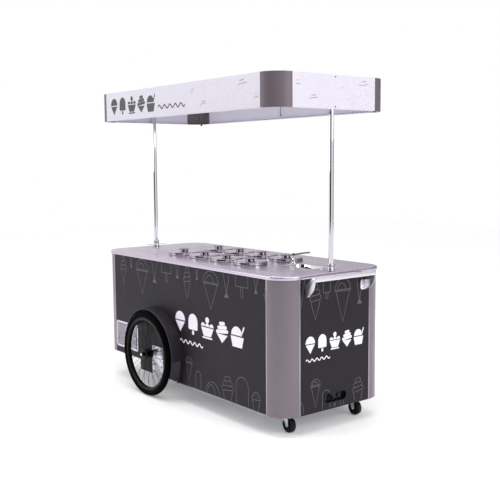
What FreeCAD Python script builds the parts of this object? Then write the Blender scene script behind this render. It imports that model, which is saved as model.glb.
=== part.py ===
import FreeCAD, Part
import math
import os

# Push vending cart for scooped ice cream, in millimetres.
# +X points to the handle end, -Y is the serving side called front, +Z is up and the floor is z = 0.
# Every function works about the middle of the cabinet; save() moves the result so that the
# origin is the middle of the whole cart's footprint.

V = FreeCAD.Vector
SIDES = {"front": -1, "back": 1}
ENDS = {"left": -1, "right": 1}

# Cabinet
body_length = 2128.0
body_width = 875.0
corner_radius = 137.0
sheet = 2.0
cabinet_bottom = 126.0
raised_bottom = 200.0
step_x = -560.0
trim_width = 9.0
trim_thickness = 1.2
fit_gap = 0.5
running_gap = 0.3

# Countertop
counter_underside = 960.0
counter_height = 24.0
counter_overhang = 8.0
bullnose = 10.0

# Chassis
tube_size = 40.0
tube_wall = 2.0
drain_radius = 4.0
rib_x = 200.0
base_sheet = 2.0

# Tubs and lids
tub_pitch = 263.0
tub_middle_x = 19.5
tub_row_y = 157.0
tub_columns = 4
tub_radius = 98.0
tub_wall = 1.5
tub_bottom = 700.0
tub_flange = 105.0
lid_radius = 115.0
lid_height = 20.0
lid_wall = 2.0
lid_plug_depth = 14.0
knob_radius = 46.0
knob_foot = 24.0
knob_height = 18.0
knob_dish = 5.0
well_clearance = 2.0
tank_margin_x = 150.0
tank_half_width = 300.0
tank_bottom = 640.0

# Dipper well and tap
basin_from_tap = 190.0
basin_y = 15.0
basin_length = 240.0
basin_width = 132.0
basin_depth = 120.0
basin_corner = 45.0
basin_wall = 1.5
basin_lip = 8.0
tap_from_tub = 171.0
tap_y = 75.0
tap_height = 52.0
tap_radius = 11.0
tap_shank_radius = 9.0
spout_radius = 5.5
spout_reach = 244.0
spout_knee_reach = 190.0
spout_knee_rise = 63.0
spout_tip_rise = 44.0
spout_bend = 26.0
spout_turn = -17.0

# Canopy and its poles
canopy_length = 2108.0
canopy_width = 950.0
canopy_radius = 133.0
canopy_bottom = 1968.0
fascia_height = 204.0
fascia_sheet = 3.0
fascia_return = 25.0
roof_lip = 7.0
roof_sheet = 5.0
canopy_tube = 25.0
pole_x = 1020.0
pole_radius = 15.0
pole_wall = 2.0
pole_foot = 700.0
socket_gap = 0.3
socket_wall = 1.7
collar_radius = 24.0
collar_height = 9.0
clamp_height = 18.0
clamp_wall = 3.0
cap_ring_radius = 23.0
cap_ring_height = 18.0
clamp_rod_radius = 2.5
clamp_rod_reach = 84.0

# Main wheels
wheel_x = -313.0
wheel_radius = 300.5
tyre_width = 47.0
tyre_wall = 4.0
wheel_plane = 92.5
tyre_height = 38.5
bead_seat_depth = 8.5
rim_depth = 22.0
rim_half_width = 16.0
rim_wall = 2.4
hub_flange_radius = 42.0
hub_body_radius = 24.0
hub_half_width = 36.0
hub_flange_offset = 26.0
hub_flange_thickness = 4.0
spoke_circle = 36.0
spoke_radius = 1.2
spoke_count = 36
spoke_lean = 30.0
axle_radius = 10.0
axle_fit = 0.05
bracket_width = 144.0
bracket_bottom = 128.0
bracket_above_axle = 37.5
bracket_sheet = 5.0
boss_radius = 22.0
nut_size = 15.0
nut_height = 11.0

# Mudguards
guard_clearance = 24.5
guard_sheet = 2.5
guard_depth = 91.0
guard_skirt = 22.0
guard_start = 150.0
guard_end = -1.0

# Casters
caster_from_end = 139.0
caster_y = 285.0
caster_radius = 49.0
caster_tread = 32.0
caster_trail = 28.0
caster_plate_length = 96.0
caster_plate_width = 76.0
caster_plate = 3.0
caster_head_radius = 27.0
caster_head_height = 12.0
caster_leg = 3.0
caster_pin_radius = 6.0
caster_axle_radius = 4.0

# Push handle
handle_reach = 78.0
handle_above_panel = 0.0
handle_tube = 25.0
handle_wall = 2.0
handle_half = 253.0
handle_bracket = 4.0
flange_below_panel_top = 48.0
flange_height = 62.0
flange_width = 40.0

# Vent, inlet and service door
vent_x = -752.0
vent_z = 348.0
vent_length = 320.0
vent_height = 200.0
vent_sheet = 1.5
vent_border = 16.0
vent_columns = 3
vent_rows = 13
slot_length_share = 0.84
slot_height_share = 0.5
inlet_z = 197.0
inlet_length = 186.0
inlet_height = 54.0
inlet_depth = 18.0
inlet_wall = 1.5
inlet_rim = 5.0
door_x = 720.0
door_bottom = 200.0
door_length = 300.0
door_height = 440.0
door_gap = 2.5
hinge_radius = 5.0
hinge_pin = 2.5
hinge_height = 60.0
hinge_sheet = 2.0
hinge_inset = 70.0
knuckle = 10.0
leaf_reach = 24.0
latch_inset = 36.0
latch_face = 18.0
latch_wing = (8.0, 12.0, 32.0)
latch_spindle = 8.0
latch_tongue = (18.0, 52.0)

# Cold machinery
unit_x = -752.0
condenser_depth = 40.0
condenser_gap = 18.0
shroud_depth = 26.0
fan_radius = 84.0
fan_tip_gap = 4.0
fan_blades = 5
motor_radius = 30.0
motor_length = 50.0
motor_shaft = 4.0
compressor_x = -800.0
compressor_y = 120.0
compressor_radius = 82.0
compressor_height = 200.0
tank_bottle = (150.0, 230.0, 250.0)

half_l = body_length / 2
half_w = body_width / 2
flat_x = half_l - corner_radius
flat_y = half_w - corner_radius
inner_l = half_l - sheet
inner_w = half_w - sheet
counter_top = counter_underside + counter_height
canopy_top = canopy_bottom + fascia_height
handle_x = half_l + handle_reach
centre_x = -(handle_reach + handle_tube / 2 - counter_overhang) / 2
wheel_z = wheel_radius
rim_radius = wheel_radius - tyre_height
bead_radius = rim_radius - bead_seat_depth
rim_inner = rim_radius - rim_depth
guard_radius = wheel_radius + guard_clearance
bracket_top = wheel_z + bracket_above_axle
caster_x = half_l - caster_from_end
handle_z = counter_underside + handle_above_panel
flange_top = counter_underside - flange_below_panel_top
flange_bottom = flange_top - flange_height
tub_xs = [tub_middle_x + (i - (tub_columns - 1) / 2) * tub_pitch for i in range(tub_columns)]
tap_x = tub_xs[-1] + tap_from_tub
basin_x = tap_x + basin_from_tap
wheel_y = half_w + wheel_plane


def save(name, shape):
    moved = shape.copy()
    moved.translate(V(centre_x, 0, 0))
    moved.exportStep("parts/" + name + ".step")


def box(x0, x1, y0, y1, z0, z1):
    return Part.makeBox(x1 - x0, y1 - y0, z1 - z0, V(x0, y0, z0))


def rod(radius, start, end):
    way = end - start
    return Part.makeCylinder(radius, way.Length, start, way)


def pipe(outer, inner, start, end):
    return rod(outer, start, end).cut(rod(inner, start, end))


def joined(shapes):
    shapes = list(shapes)
    if len(shapes) == 1:
        return shapes[0]
    return shapes[0].multiFuse(shapes[1:]).removeSplitter()


def without(shape, cutters):
    for cutter in cutters:
        shape = shape.cut(cutter)
    return shape


def group(shapes):
    return Part.makeCompound(list(shapes))


def mirror_y(shape):
    return shape.mirror(V(0, 0, 0), V(0, 1, 0))


def mirror_x(shape):
    return shape.mirror(V(0, 0, 0), V(1, 0, 0))


def rounded_face(length, width, radius, z):
    x = length / 2
    y = width / 2
    a = x - radius
    b = y - radius
    q = radius * math.sqrt(0.5)
    ends = [(x, -b), (x, b), (a, y), (-a, y), (-x, b), (-x, -b), (-a, -y), (a, -y)]
    mids = [(a + q, b + q), (-a - q, b + q), (-a - q, -b - q), (a + q, -b - q)]
    points = [V(p[0], p[1], z) for p in ends]
    edges = []
    for i in range(4):
        start = points[2 * i]
        stop = points[2 * i + 1]
        onward = points[(2 * i + 2) % 8]
        edges.append(Part.makeLine(start, stop))
        edges.append(Part.Arc(stop, V(mids[i][0], mids[i][1], z), onward).toShape())
    return Part.Face(Part.Wire(edges))


def rounded_slab(length, width, radius, z0, z1):
    return rounded_face(length, width, radius, z0).extrude(V(0, 0, z1 - z0))


def revolved_z(points, centre):
    wire = Part.makePolygon([V(r, 0, z) for r, z in points + points[:1]])
    solid = Part.Face(wire).revolve(V(0, 0, 0), V(0, 0, 1), 360)
    solid.translate(centre)
    return solid


def revolved_y(points, centre):
    wire = Part.makePolygon([V(r, y, 0) for r, y in points + points[:1]])
    solid = Part.Face(wire).revolve(V(0, 0, 0), V(0, 1, 0), 360)
    solid.translate(centre)
    return solid


def square_tube(x0, x1, y0, y1, z0, z1, wall, drain):
    outer = box(x0, x1, y0, y1, z0, z1)
    inner = box(x0 + wall, x1 - wall, y0 + wall, y1 - wall, z0 + wall, z1 - wall)
    cx = (x0 + x1) / 2
    cy = (y0 + y1) / 2
    cz = (z0 + z1) / 2
    if z1 - z0 > max(x1 - x0, y1 - y0):
        inward = -math.copysign((y1 - y0) / 2 + wall + 1, cy)
        hole = rod(drain, V(cx, cy, cz), V(cx, cy + inward, cz))
    else:
        hole = rod(drain, V(cx, cy, z0 - 1), V(cx, cy, z0 + wall + 1))
    return outer.cut(inner).cut(hole)


def chassis_tube(x0, x1, y0, y1, z0, z1):
    return square_tube(x0, x1, y0, y1, z0, z1, tube_wall, drain_radius)


def corner_shell(size, wall, sx, sy, z0, z1):
    length, width, radius = size
    cx = sx * (length / 2 - radius)
    cy = sy * (width / 2 - radius)
    ring = pipe(radius, radius - wall, V(cx, cy, z0), V(cx, cy, z1))
    x = [cx, cx + sx * 2 * radius]
    y = [cy, cy + sy * 2 * radius]
    return ring.common(box(min(x), max(x), min(y), max(y), z0, z1))


def bottom_at(x):
    return raised_bottom if x < step_x else cabinet_bottom


# Chassis: one welded frame of square tube with two levels and a post behind each wheel bracket.

rail_out = inner_w - fit_gap
rail_in = rail_out - tube_size
end_out = inner_l - fit_gap
end_in = end_out - tube_size
deck_low = cabinet_bottom + tube_size
deck_high = raised_bottom + tube_size
end_half = flat_y - fit_gap
axle_post_top = bracket_top + 12.0


def rail_pair(x0, x1, z0):
    near = chassis_tube(x0, x1, -rail_out, -rail_in, z0, z0 + tube_size)
    return [near, mirror_y(near)]


def cross_tube(x0, z0):
    return chassis_tube(x0, x0 + tube_size, -rail_in, rail_in, z0, z0 + tube_size)


def end_frame(sign, z0):
    stub_low = caster_y - tube_size / 2
    stub = chassis_tube(flat_x, end_in, stub_low, stub_low + tube_size, z0, z0 + tube_size)
    end = chassis_tube(end_in, end_out, -end_half, end_half, z0, z0 + tube_size)
    parts = [stub, mirror_y(stub), end]
    return parts if sign > 0 else [mirror_x(p) for p in parts]


def chassis_posts(x0, z0, z1):
    post = chassis_tube(x0, x0 + tube_size, rail_in, rail_out, z0, z1)
    return [post, mirror_y(post)]


def make_chassis():
    tubes = rail_pair(step_x, flat_x, cabinet_bottom)
    tubes += rail_pair(-flat_x, step_x, raised_bottom)
    tubes += chassis_posts(step_x, deck_low, deck_high)
    tubes += chassis_posts(wheel_x - tube_size / 2, deck_low, axle_post_top)
    for x in (step_x, wheel_x - tube_size / 2, rib_x, flat_x - tube_size):
        tubes.append(cross_tube(x, cabinet_bottom))
    for x in (-flat_x, step_x):
        tubes.append(cross_tube(x, raised_bottom))
    tubes += end_frame(1, cabinet_bottom)
    tubes += end_frame(-1, raised_bottom)
    return joined(tubes)


def make_base_plate():
    corner = corner_radius - sheet - fit_gap
    outline = rounded_slab(2 * end_out, 2 * rail_out, corner, deck_low, deck_high + base_sheet)
    wall_x = step_x + tube_size
    low = box(wall_x, half_l, -half_w, half_w, deck_low, deck_low + base_sheet)
    wall = box(wall_x, wall_x + base_sheet, -half_w, half_w, deck_low, deck_high + base_sheet)
    high = box(-half_l, wall_x + base_sheet, -half_w, half_w, deck_high, deck_high + base_sheet)
    plate = joined([low, wall, high]).common(outline)
    posts = []
    for sign in SIDES.values():
        y = sorted([sign * (rail_in - fit_gap), sign * half_w])
        x = wheel_x - tube_size / 2 - fit_gap
        posts.append(box(x, x + tube_size + 2 * fit_gap, y[0], y[1], 0, counter_top))
    return without(plate, posts)


# Cabinet skin: four flat panels, four rounded posts between them, and bright strips on the seams.


def long_panel(sign):
    y = sorted([sign * half_w, sign * (half_w - sheet)])
    low = box(step_x, flat_x, y[0], y[1], cabinet_bottom, counter_underside)
    high = box(-flat_x, step_x, y[0], y[1], raised_bottom, counter_underside)
    return joined([low, high])


def make_front_panel():
    hole_l = vent_length / 2 - vent_border
    hole_h = vent_height / 2 - vent_border
    hole = box(vent_x - hole_l, vent_x + hole_l, -half_w - 1, 0, vent_z - hole_h, vent_z + hole_h)
    return long_panel(-1).cut(hole)


def make_back_panel():
    half = door_length / 2
    hole = box(door_x - half, door_x + half, 0, half_w + 1, door_bottom, door_bottom + door_height)
    return long_panel(1).cut(hole)


def end_panel(sign):
    x = sorted([sign * half_l, sign * (half_l - sheet)])
    bottom = bottom_at(sign * half_l)
    return box(x[0], x[1], -flat_y, flat_y, bottom, counter_underside)


def inlet_slot(extra, x0, x1):
    length = inlet_length + 2 * extra
    height = inlet_height + 2 * extra
    face = rounded_face(height, length, height / 2 - 0.01, 0)
    slot = face.extrude(V(0, 0, x1 - x0))
    slot.rotate(V(0, 0, 0), V(0, 1, 0), 90)
    slot.translate(V(x0, 0, inlet_z))
    return slot


def make_right_end_panel():
    return end_panel(1).cut(inlet_slot(inlet_wall + fit_gap, half_l - 2 * sheet, half_l + 1))


def make_corner_posts():
    posts = []
    for sx in ENDS.values():
        for sy in SIDES.values():
            z0 = bottom_at(sx * half_l)
            size = (body_length, body_width, corner_radius)
            posts.append(corner_shell(size, sheet, sx, sy, z0, counter_underside))
    return group(posts)


def make_corner_trims():
    strips = []
    for sx in ENDS.values():
        z0 = bottom_at(sx * half_l)
        for sy in SIDES.values():
            x = sorted([sx * flat_x, sx * (flat_x - trim_width)])
            y = sorted([sy * half_w, sy * (half_w + trim_thickness)])
            strips.append(box(x[0], x[1], y[0], y[1], z0, counter_underside))
            x = sorted([sx * half_l, sx * (half_l + trim_thickness)])
            y = sorted([sy * flat_y, sy * (flat_y - trim_width)])
            strips.append(box(x[0], x[1], y[0], y[1], z0, counter_underside))
    return group(strips)


# Countertop: folded sheet with a rounded rim, open underneath, with a drawn collar at each hole.

tub_hole = tub_flange + 1.0


def basin_slab(extra, z0, z1):
    length = basin_length + 2 * extra
    width = basin_width + 2 * extra
    slab = rounded_slab(length, width, basin_corner + extra, z0, z1)
    slab.translate(V(basin_x, basin_y, 0))
    return slab


def make_countertop():
    length = body_length + 2 * counter_overhang
    width = body_width + 2 * counter_overhang
    radius = corner_radius + counter_overhang
    outer = rounded_slab(length, width, radius, counter_underside, counter_top)
    rim = [e for e in outer.Edges if e.BoundBox.ZMin > counter_top - 0.01]
    outer = outer.makeFillet(bullnose, rim)
    skin = counter_top - sheet
    core = rounded_slab(length - 2 * sheet, width - 2 * sheet, radius - sheet, counter_underside - 1, skin)
    rim = [e for e in core.Edges if e.BoundBox.ZMin > skin - 0.01]
    core = core.makeFillet(bullnose - sheet, rim)
    shell = outer.cut(core)
    collars = []
    holes = []
    round_holes = [(x, s * tub_row_y, tub_hole) for x in tub_xs for s in SIDES.values()]
    round_holes += [(s * pole_x, 0, socket_outer + fit_gap) for s in ENDS.values()]
    round_holes += [(tap_x, tap_y, tap_shank_radius + fit_gap)]
    for x, y, radius in round_holes:
        low = V(x, y, counter_underside)
        high = V(x, y, counter_top)
        collars.append(rod(radius + sheet, low, high))
        holes.append(rod(radius, low - V(0, 0, 1), high + V(0, 0, 1)))
    collars.append(basin_slab(basin_wall + fit_gap + sheet, counter_underside, counter_top))
    holes.append(basin_slab(basin_wall + fit_gap, counter_underside - 1, counter_top + 1))
    return without(joined([shell] + collars), holes)


# Cold tank with wells, the tubs that hang in them, and the lids.


def make_tubs():
    flange_z = counter_underside
    profile = [
        (0, tub_bottom),
        (tub_radius, tub_bottom),
        (tub_radius, flange_z),
        (tub_flange, flange_z),
        (tub_flange, flange_z + tub_wall),
        (tub_radius - tub_wall, flange_z + tub_wall),
        (tub_radius - tub_wall, tub_bottom + tub_wall),
        (0, tub_bottom + tub_wall),
    ]
    return group(revolved_z(profile, V(x, s * tub_row_y, 0)) for s in SIDES.values() for x in tub_xs)


def make_cold_tank():
    top = counter_underside
    x0 = tub_xs[0] - tank_margin_x
    x1 = tub_xs[-1] + tank_margin_x
    outer = box(x0, x1, -tank_half_width, tank_half_width, tank_bottom, top)
    half = tank_half_width - sheet
    core = box(x0 + sheet, x1 - sheet, -half, half, tank_bottom - 1, top - sheet)
    tank = outer.cut(core)
    well_in = tub_radius + well_clearance
    wells = []
    bores = []
    for x in tub_xs:
        for s in SIDES.values():
            y = s * tub_row_y
            foot = tub_bottom - well_clearance
            wells.append(rod(well_in + sheet, V(x, y, foot - sheet), V(x, y, top)))
            bores.append(rod(well_in, V(x, y, foot), V(x, y, top + 1)))
    return without(joined([tank] + wells), bores)


def make_lid(x, y):
    low = counter_top + running_gap
    high = low + lid_height
    plug = tub_radius - tub_wall - 1.5
    foot = low - lid_plug_depth
    profile = [
        (0, high - lid_wall),
        (plug - lid_wall, high - lid_wall),
        (plug - lid_wall, foot),
        (plug, foot),
        (plug, high - lid_wall),
        (lid_radius - lid_wall, high - lid_wall),
        (lid_radius - lid_wall, low),
        (lid_radius, low),
        (lid_radius, high - lid_wall),
        (lid_radius - lid_wall, high),
        (0, high),
    ]
    cap = revolved_z(profile, V(x, y, 0))
    knob_profile = [
        (0, high),
        (knob_foot, high),
        (knob_foot * 0.8, high + knob_height * 0.35),
        (knob_radius * 0.8, high + knob_height * 0.7),
        (knob_radius, high + knob_height * 0.9),
        (knob_radius - 3, high + knob_height),
        (knob_radius * 0.75, high + knob_height - knob_dish * 0.6),
        (0, high + knob_height - knob_dish),
    ]
    knob = revolved_z(knob_profile, V(x, y, 0))
    return group([cap, knob])


# Dipper well and its tap.


def make_basin():
    floor = counter_top - basin_depth
    shell = basin_slab(basin_wall, floor - basin_wall, counter_top)
    lip = basin_slab(basin_lip, counter_top, counter_top + basin_wall)
    drain = pipe(16, 12, V(basin_x, basin_y, floor - 40), V(basin_x, basin_y, floor - basin_wall))
    hole = rod(12, V(basin_x, basin_y, floor - 41), V(basin_x, basin_y, floor + 1))
    solid = joined([shell, lip, drain])
    return without(solid, [basin_slab(0, floor, counter_top + basin_wall + 1), hole])


tap_top = counter_top + tap_height


def make_tap_body():
    base = V(tap_x, tap_y, counter_top)
    up = V(0, 0, 1)
    flange = rod(20, base, base + up * 4)
    column = rod(tap_radius, base, base + up * tap_height)
    shank = rod(tap_shank_radius, base - up * (counter_height + 40), base)
    nut = rod(18, base - up * (counter_height + 12), base - up * counter_height)
    valve = rod(8, base + V(0, 0, 30), base + V(0, -tap_radius - 7, 30))
    spigot = rod(5, base + up * tap_height, base + up * (tap_height + 12))
    return joined([flange, column, shank, nut, valve, spigot])


def make_tap_spout():
    foot = tap_top + running_gap
    turn = math.radians(spout_turn)
    along = V(math.cos(turn), math.sin(turn), 0)
    start = V(tap_x, tap_y, foot + 6)
    knee = start + along * spout_knee_reach + V(0, 0, spout_knee_rise - 6)
    tip = start + along * spout_reach + V(0, 0, spout_tip_rise - 6)
    rise = (knee - start).normalize()
    fall = (tip - knee).normalize()
    bend = rise.getAngle(fall)
    back = spout_bend * math.tan(bend / 2)
    first = knee - rise * back
    second = knee + fall * back
    inward = (fall - rise).normalize()
    middle = knee + inward * (spout_bend / math.cos(bend / 2) - spout_bend)
    wire = Part.Wire([
        Part.makeLine(start, first),
        Part.Arc(first, middle, second).toShape(),
        Part.makeLine(second, tip),
    ])
    profile = Part.Wire([Part.makeCircle(spout_radius, start, rise)])
    tube = wire.makePipeShell([profile], True, False)
    collar = rod(13, V(tap_x, tap_y, foot), V(tap_x, tap_y, foot + 14))
    bore = rod(5 + axle_fit, V(tap_x, tap_y, foot - 1), V(tap_x, tap_y, tap_top + 12 + running_gap))
    return joined([collar, tube]).cut(bore)


def make_tap_lever():
    start = V(tap_x, tap_y - tap_radius - 7 - running_gap, counter_top + 30)
    hub = rod(8, start, start - V(0, 8, 0))
    arm = rod(3, start - V(0, 4, 0), start + V(0, -4, 16))
    ball = Part.makeSphere(8, start + V(0, -4, 20))
    return joined([hub, arm, ball])


# Pole sockets, clamp rings and the canopy.

socket_inner = pole_radius + socket_gap
socket_outer = socket_inner + socket_wall
clamp_low = counter_top + collar_height
cap_low = clamp_low + clamp_height
cap_high = cap_low + cap_ring_height
roof_top = canopy_top - roof_lip
roof_low = roof_top - roof_sheet
pole_top = roof_low - fit_gap


def make_socket(sign):
    x = sign * pole_x
    foot = (deck_high if sign < 0 else deck_low) + base_sheet
    liner = rod(socket_outer, V(x, 0, foot), V(x, 0, cap_high))
    collar = rod(collar_radius, V(x, 0, counter_top), V(x, 0, clamp_low))
    ring = rod(cap_ring_radius, V(x, 0, cap_low), V(x, 0, cap_high))
    upper = rod(socket_inner, V(x, 0, pole_foot), V(x, 0, cap_high + 1))
    lower = rod(socket_inner, V(x, 0, foot - 1), V(x, 0, pole_foot - 10))
    return without(joined([liner, collar, ring]), [upper, lower])


def make_clamp_ring(sign):
    x = sign * pole_x
    low = clamp_low + running_gap
    high = cap_low - running_gap
    inner = socket_outer + running_gap
    ring = rod(inner + clamp_wall, V(x, 0, low), V(x, 0, high))
    z = low + 5
    bar = rod(clamp_rod_radius, V(x, -clamp_rod_reach, z), V(x, clamp_rod_reach, z))
    return joined([ring, bar]).cut(rod(inner, V(x, 0, low - 1), V(x, 0, high + 1)))


def make_poles():
    shapes = []
    for sign in ENDS.values():
        low = V(sign * pole_x, 0, pole_foot)
        high = V(sign * pole_x, 0, pole_top)
        shapes.append(pipe(pole_radius, pole_radius - pole_wall, low, high))
    return group(shapes)


canopy_flat_x = canopy_length / 2 - canopy_radius
canopy_flat_y = canopy_width / 2 - canopy_radius
canopy_in_y = canopy_width / 2 - fascia_sheet - fit_gap


def pole_cuts(gap, z0, z1):
    return [rod(pole_radius + gap, V(s * pole_x, 0, z0), V(s * pole_x, 0, z1)) for s in ENDS.values()]


def make_canopy_frame():
    z1 = roof_low
    z0 = z1 - canopy_tube

    def tube(x0, x1, y0, y1):
        return square_tube(x0, x1, y0, y1, z0, z1, pole_wall, drain_radius)

    rail_low = canopy_in_y - canopy_tube
    half = canopy_tube / 2
    side = tube(-canopy_flat_x, canopy_flat_x, rail_low, canopy_in_y)
    cross = tube(canopy_flat_x - canopy_tube, canopy_flat_x, -rail_low, rail_low)
    tongue = tube(canopy_flat_x, pole_x, -half, half)
    spine = tube(canopy_tube - canopy_flat_x, canopy_flat_x - canopy_tube, -half, half)
    tubes = [side, mirror_y(side), cross, mirror_x(cross), tongue, mirror_x(tongue), spine]
    return without(joined(tubes), pole_cuts(0.1, z0 - 1, z1 + 1))


def make_canopy_roof():
    gap = fascia_sheet + fit_gap
    length = canopy_length - 2 * gap
    width = canopy_width - 2 * gap
    return rounded_slab(length, width, canopy_radius - gap, roof_low, roof_top)


def make_fascia():
    high = canopy_top
    low = canopy_bottom
    lip = low + fascia_sheet
    y = canopy_width / 2
    x = canopy_length / 2
    wall = box(-canopy_flat_x, canopy_flat_x, y - fascia_sheet, y, low, high)
    ledge = box(-canopy_flat_x, canopy_flat_x, y - fascia_return, y, low, lip)
    side = joined([wall, ledge])
    wall = box(x - fascia_sheet, x, -canopy_flat_y, canopy_flat_y, low, high)
    ledge = box(x - fascia_return, x, -canopy_flat_y, canopy_flat_y, low, lip)
    end = without(joined([wall, ledge]), pole_cuts(fit_gap, low - 1, lip + 1))
    return group([side, mirror_y(side), end, mirror_x(end)])


def make_canopy_corners():
    shells = []
    for sx in ENDS.values():
        for sy in SIDES.values():
            size = (canopy_length, canopy_width, canopy_radius)
            wall = corner_shell(size, fascia_sheet, sx, sy, canopy_bottom, canopy_top)
            lip = canopy_bottom + fascia_sheet
            ledge = corner_shell(size, fascia_return, sx, sy, canopy_bottom, lip)
            shells.append(joined([wall, ledge]))
    return group(shells)


# Main wheels: tyre, rim, laced spokes, hub, and the bracket with its stub axle.
# The shapes are made for the front wheel and mirrored for the back one.

wheel_centre = V(wheel_x, -wheel_y, wheel_z)


def make_tyre():
    middle = wheel_radius - tyre_width / 2
    half = tyre_width / 2
    section = Part.Face(Part.Wire([Part.makeCircle(half, V(middle, 0, 0), V(0, 0, 1))]))
    air = Part.Face(Part.Wire([Part.makeCircle(half - tyre_wall, V(middle, 0, 0), V(0, 0, 1))]))
    seat = rim_half_width - rim_wall
    below = middle - half - 1
    cuts = []
    for sign in (-1, 1):
        y = sorted([sign * seat, sign * 2 * half])
        cuts.append(Part.makePlane(rim_radius - below, y[1] - y[0], V(below, y[0], 0)))
    cuts.append(Part.makePlane(bead_radius - below, 4 * half, V(below, -2 * half, 0)))
    slot = seat - tyre_wall
    cuts.append(Part.makePlane(middle - below, 2 * slot, V(below, -slot, 0)))
    section = without(section.cut(air), cuts)
    solid = section.revolve(V(0, 0, 0), V(0, 1, 0), 360)
    solid.translate(wheel_centre)
    return solid.Solids[0]


def make_rim():
    w = rim_half_width
    seat = w - rim_wall
    profile = [
        (rim_inner, -w * 0.55),
        (bead_radius - rim_wall * 2, -w),
        (rim_radius, -w),
        (rim_radius, -seat),
        (bead_radius, -seat),
        (bead_radius, seat),
        (rim_radius, seat),
        (rim_radius, w),
        (bead_radius - rim_wall * 2, w),
        (rim_inner, w * 0.55),
    ]
    return revolved_y(profile, wheel_centre)


def make_hub():
    h = hub_half_width
    f = hub_flange_offset
    t = hub_flange_thickness / 2
    bore = axle_radius + axle_fit
    body = hub_body_radius
    flange = hub_flange_radius
    nose = body * 0.75
    half = [(bore, h), (nose, h), (nose, f + t), (flange, f + t), (flange, f - t), (body, f - t)]
    profile = half + [(r, -y) for r, y in reversed(half)]
    return revolved_y(profile, wheel_centre)


def make_spokes():
    spokes = []
    for i in range(spoke_count):
        side = 1 if i % 2 else -1
        lean = spoke_lean if (i // 2) % 2 else -spoke_lean
        at = 2 * math.pi * i / spoke_count
        foot_at = at + math.radians(lean)
        y = side * hub_flange_offset
        foot = V(spoke_circle * math.cos(foot_at), y, spoke_circle * math.sin(foot_at))
        reach = rim_inner + 1.0
        head = V(reach * math.cos(at), side * 3, reach * math.sin(at))
        spokes.append(rod(spoke_radius, wheel_centre + foot, wheel_centre + head))
    return group(spokes)


hub_outer_y = -wheel_y - hub_half_width


def make_axle_bracket():
    x0 = wheel_x - bracket_width / 2
    face = -half_w - bracket_sheet
    plate = box(x0, x0 + bracket_width, face, -half_w, bracket_bottom, bracket_top)
    corners = [e for e in plate.Edges if abs(e.Vertexes[0].Y - e.Vertexes[1].Y) > 1]
    plate = plate.makeFillet(12, corners)
    shoulder = -wheel_y + hub_half_width + running_gap
    boss = rod(boss_radius, V(wheel_x, face, wheel_z), V(wheel_x, shoulder + 8, wheel_z))
    neck = rod(axle_radius + 5, V(wheel_x, face, wheel_z), V(wheel_x, shoulder, wheel_z))
    end = hub_outer_y - running_gap - nut_height - 3
    axle = rod(axle_radius, V(wheel_x, face, wheel_z), V(wheel_x, end, wheel_z))
    return joined([plate, boss, neck, axle])


def make_mudguard():
    y0 = -half_w - guard_depth
    outer_end = V(wheel_x, y0, wheel_z)
    ring = pipe(guard_radius, guard_radius - guard_sheet, outer_end, V(wheel_x, -half_w, wheel_z))
    reach = 2 * guard_radius
    a0 = math.radians(guard_end)
    a1 = math.radians(guard_start)
    mid = math.radians((guard_start + guard_end) / 2)
    fan = [V(wheel_x, y0 - 1, wheel_z)]
    for angle in (a0, (a0 + mid) / 2, mid, (a1 + mid) / 2, a1):
        fan.append(V(wheel_x + reach * math.cos(angle), y0 - 1, wheel_z + reach * math.sin(angle)))
    wedge = Part.Face(Part.makePolygon(fan + fan[:1])).extrude(V(0, guard_depth + 2, 0))
    hood = ring.common(wedge)
    skirt = ring.common(box(wheel_x, half_l, -half_w - guard_skirt, -half_w, cabinet_bottom, counter_top))
    return joined([hood, skirt])


# Casters: a fixed top plate with a king pin, a swivelling fork and a wheel.


def make_caster_plate(sign):
    y = sign * caster_y
    top = cabinet_bottom
    low = top - caster_plate
    neck = low - caster_head_height - 4
    half_x = caster_plate_length / 2
    half_y = caster_plate_width / 2
    plate = box(caster_x - half_x, caster_x + half_x, y - half_y, y + half_y, low, top)
    pin = rod(caster_pin_radius, V(caster_x, y, neck), V(caster_x, y, low))
    head = rod(caster_pin_radius + 4, V(caster_x, y, neck - 3), V(caster_x, y, neck))
    return joined([plate, pin, head])


def make_caster_fork(sign):
    y = sign * caster_y
    high = cabinet_bottom - caster_plate - running_gap
    low = high - caster_head_height
    axle_x = caster_x + caster_trail
    gap = caster_tread / 2 + 3
    out = gap + caster_leg
    cup = rod(caster_head_radius, V(caster_x, y, low), V(caster_x, y, high))
    crown = box(caster_x - caster_head_radius, axle_x + 8, y - out, y + out, low, low + caster_leg)
    parts = [cup, crown]
    for side in (-1, 1):
        ys = sorted([y + side * gap, y + side * out])
        outline = [
            V(caster_x - caster_head_radius, ys[0], low + caster_leg),
            V(axle_x + 8, ys[0], low + caster_leg),
            V(axle_x + 12, ys[0], caster_radius - 4),
            V(axle_x, ys[0], caster_radius - 13),
            V(axle_x - 12, ys[0], caster_radius - 4),
        ]
        parts.append(Part.Face(Part.makePolygon(outline + outline[:1])).extrude(V(0, caster_leg, 0)))
    centre = V(axle_x, y, caster_radius)
    pin = rod(caster_axle_radius, centre - V(0, out + 4, 0), centre + V(0, out + 4, 0))
    bore = rod(caster_pin_radius + axle_fit, V(caster_x, y, low - 1), V(caster_x, y, high + 1))
    return joined(parts + [pin]).cut(bore)


def make_caster_wheel(sign):
    centre = V(caster_x + caster_trail, sign * caster_y, caster_radius)
    h = caster_tread / 2
    bore = caster_axle_radius + axle_fit
    web = caster_radius * 0.62
    profile = [
        (bore, h), (bore + 8, h), (bore + 8, h - 8), (web, h - 8), (web, h), (caster_radius - 5, h),
        (caster_radius, h - 7), (caster_radius, 7 - h), (caster_radius - 5, -h), (web, -h),
        (web, 8 - h), (bore + 8, 8 - h), (bore + 8, -h), (bore, -h),
    ]
    return revolved_y(profile, centre)


# Push handle: a square bar between two curved bracket plates that are screwed to the end panel.


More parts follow.
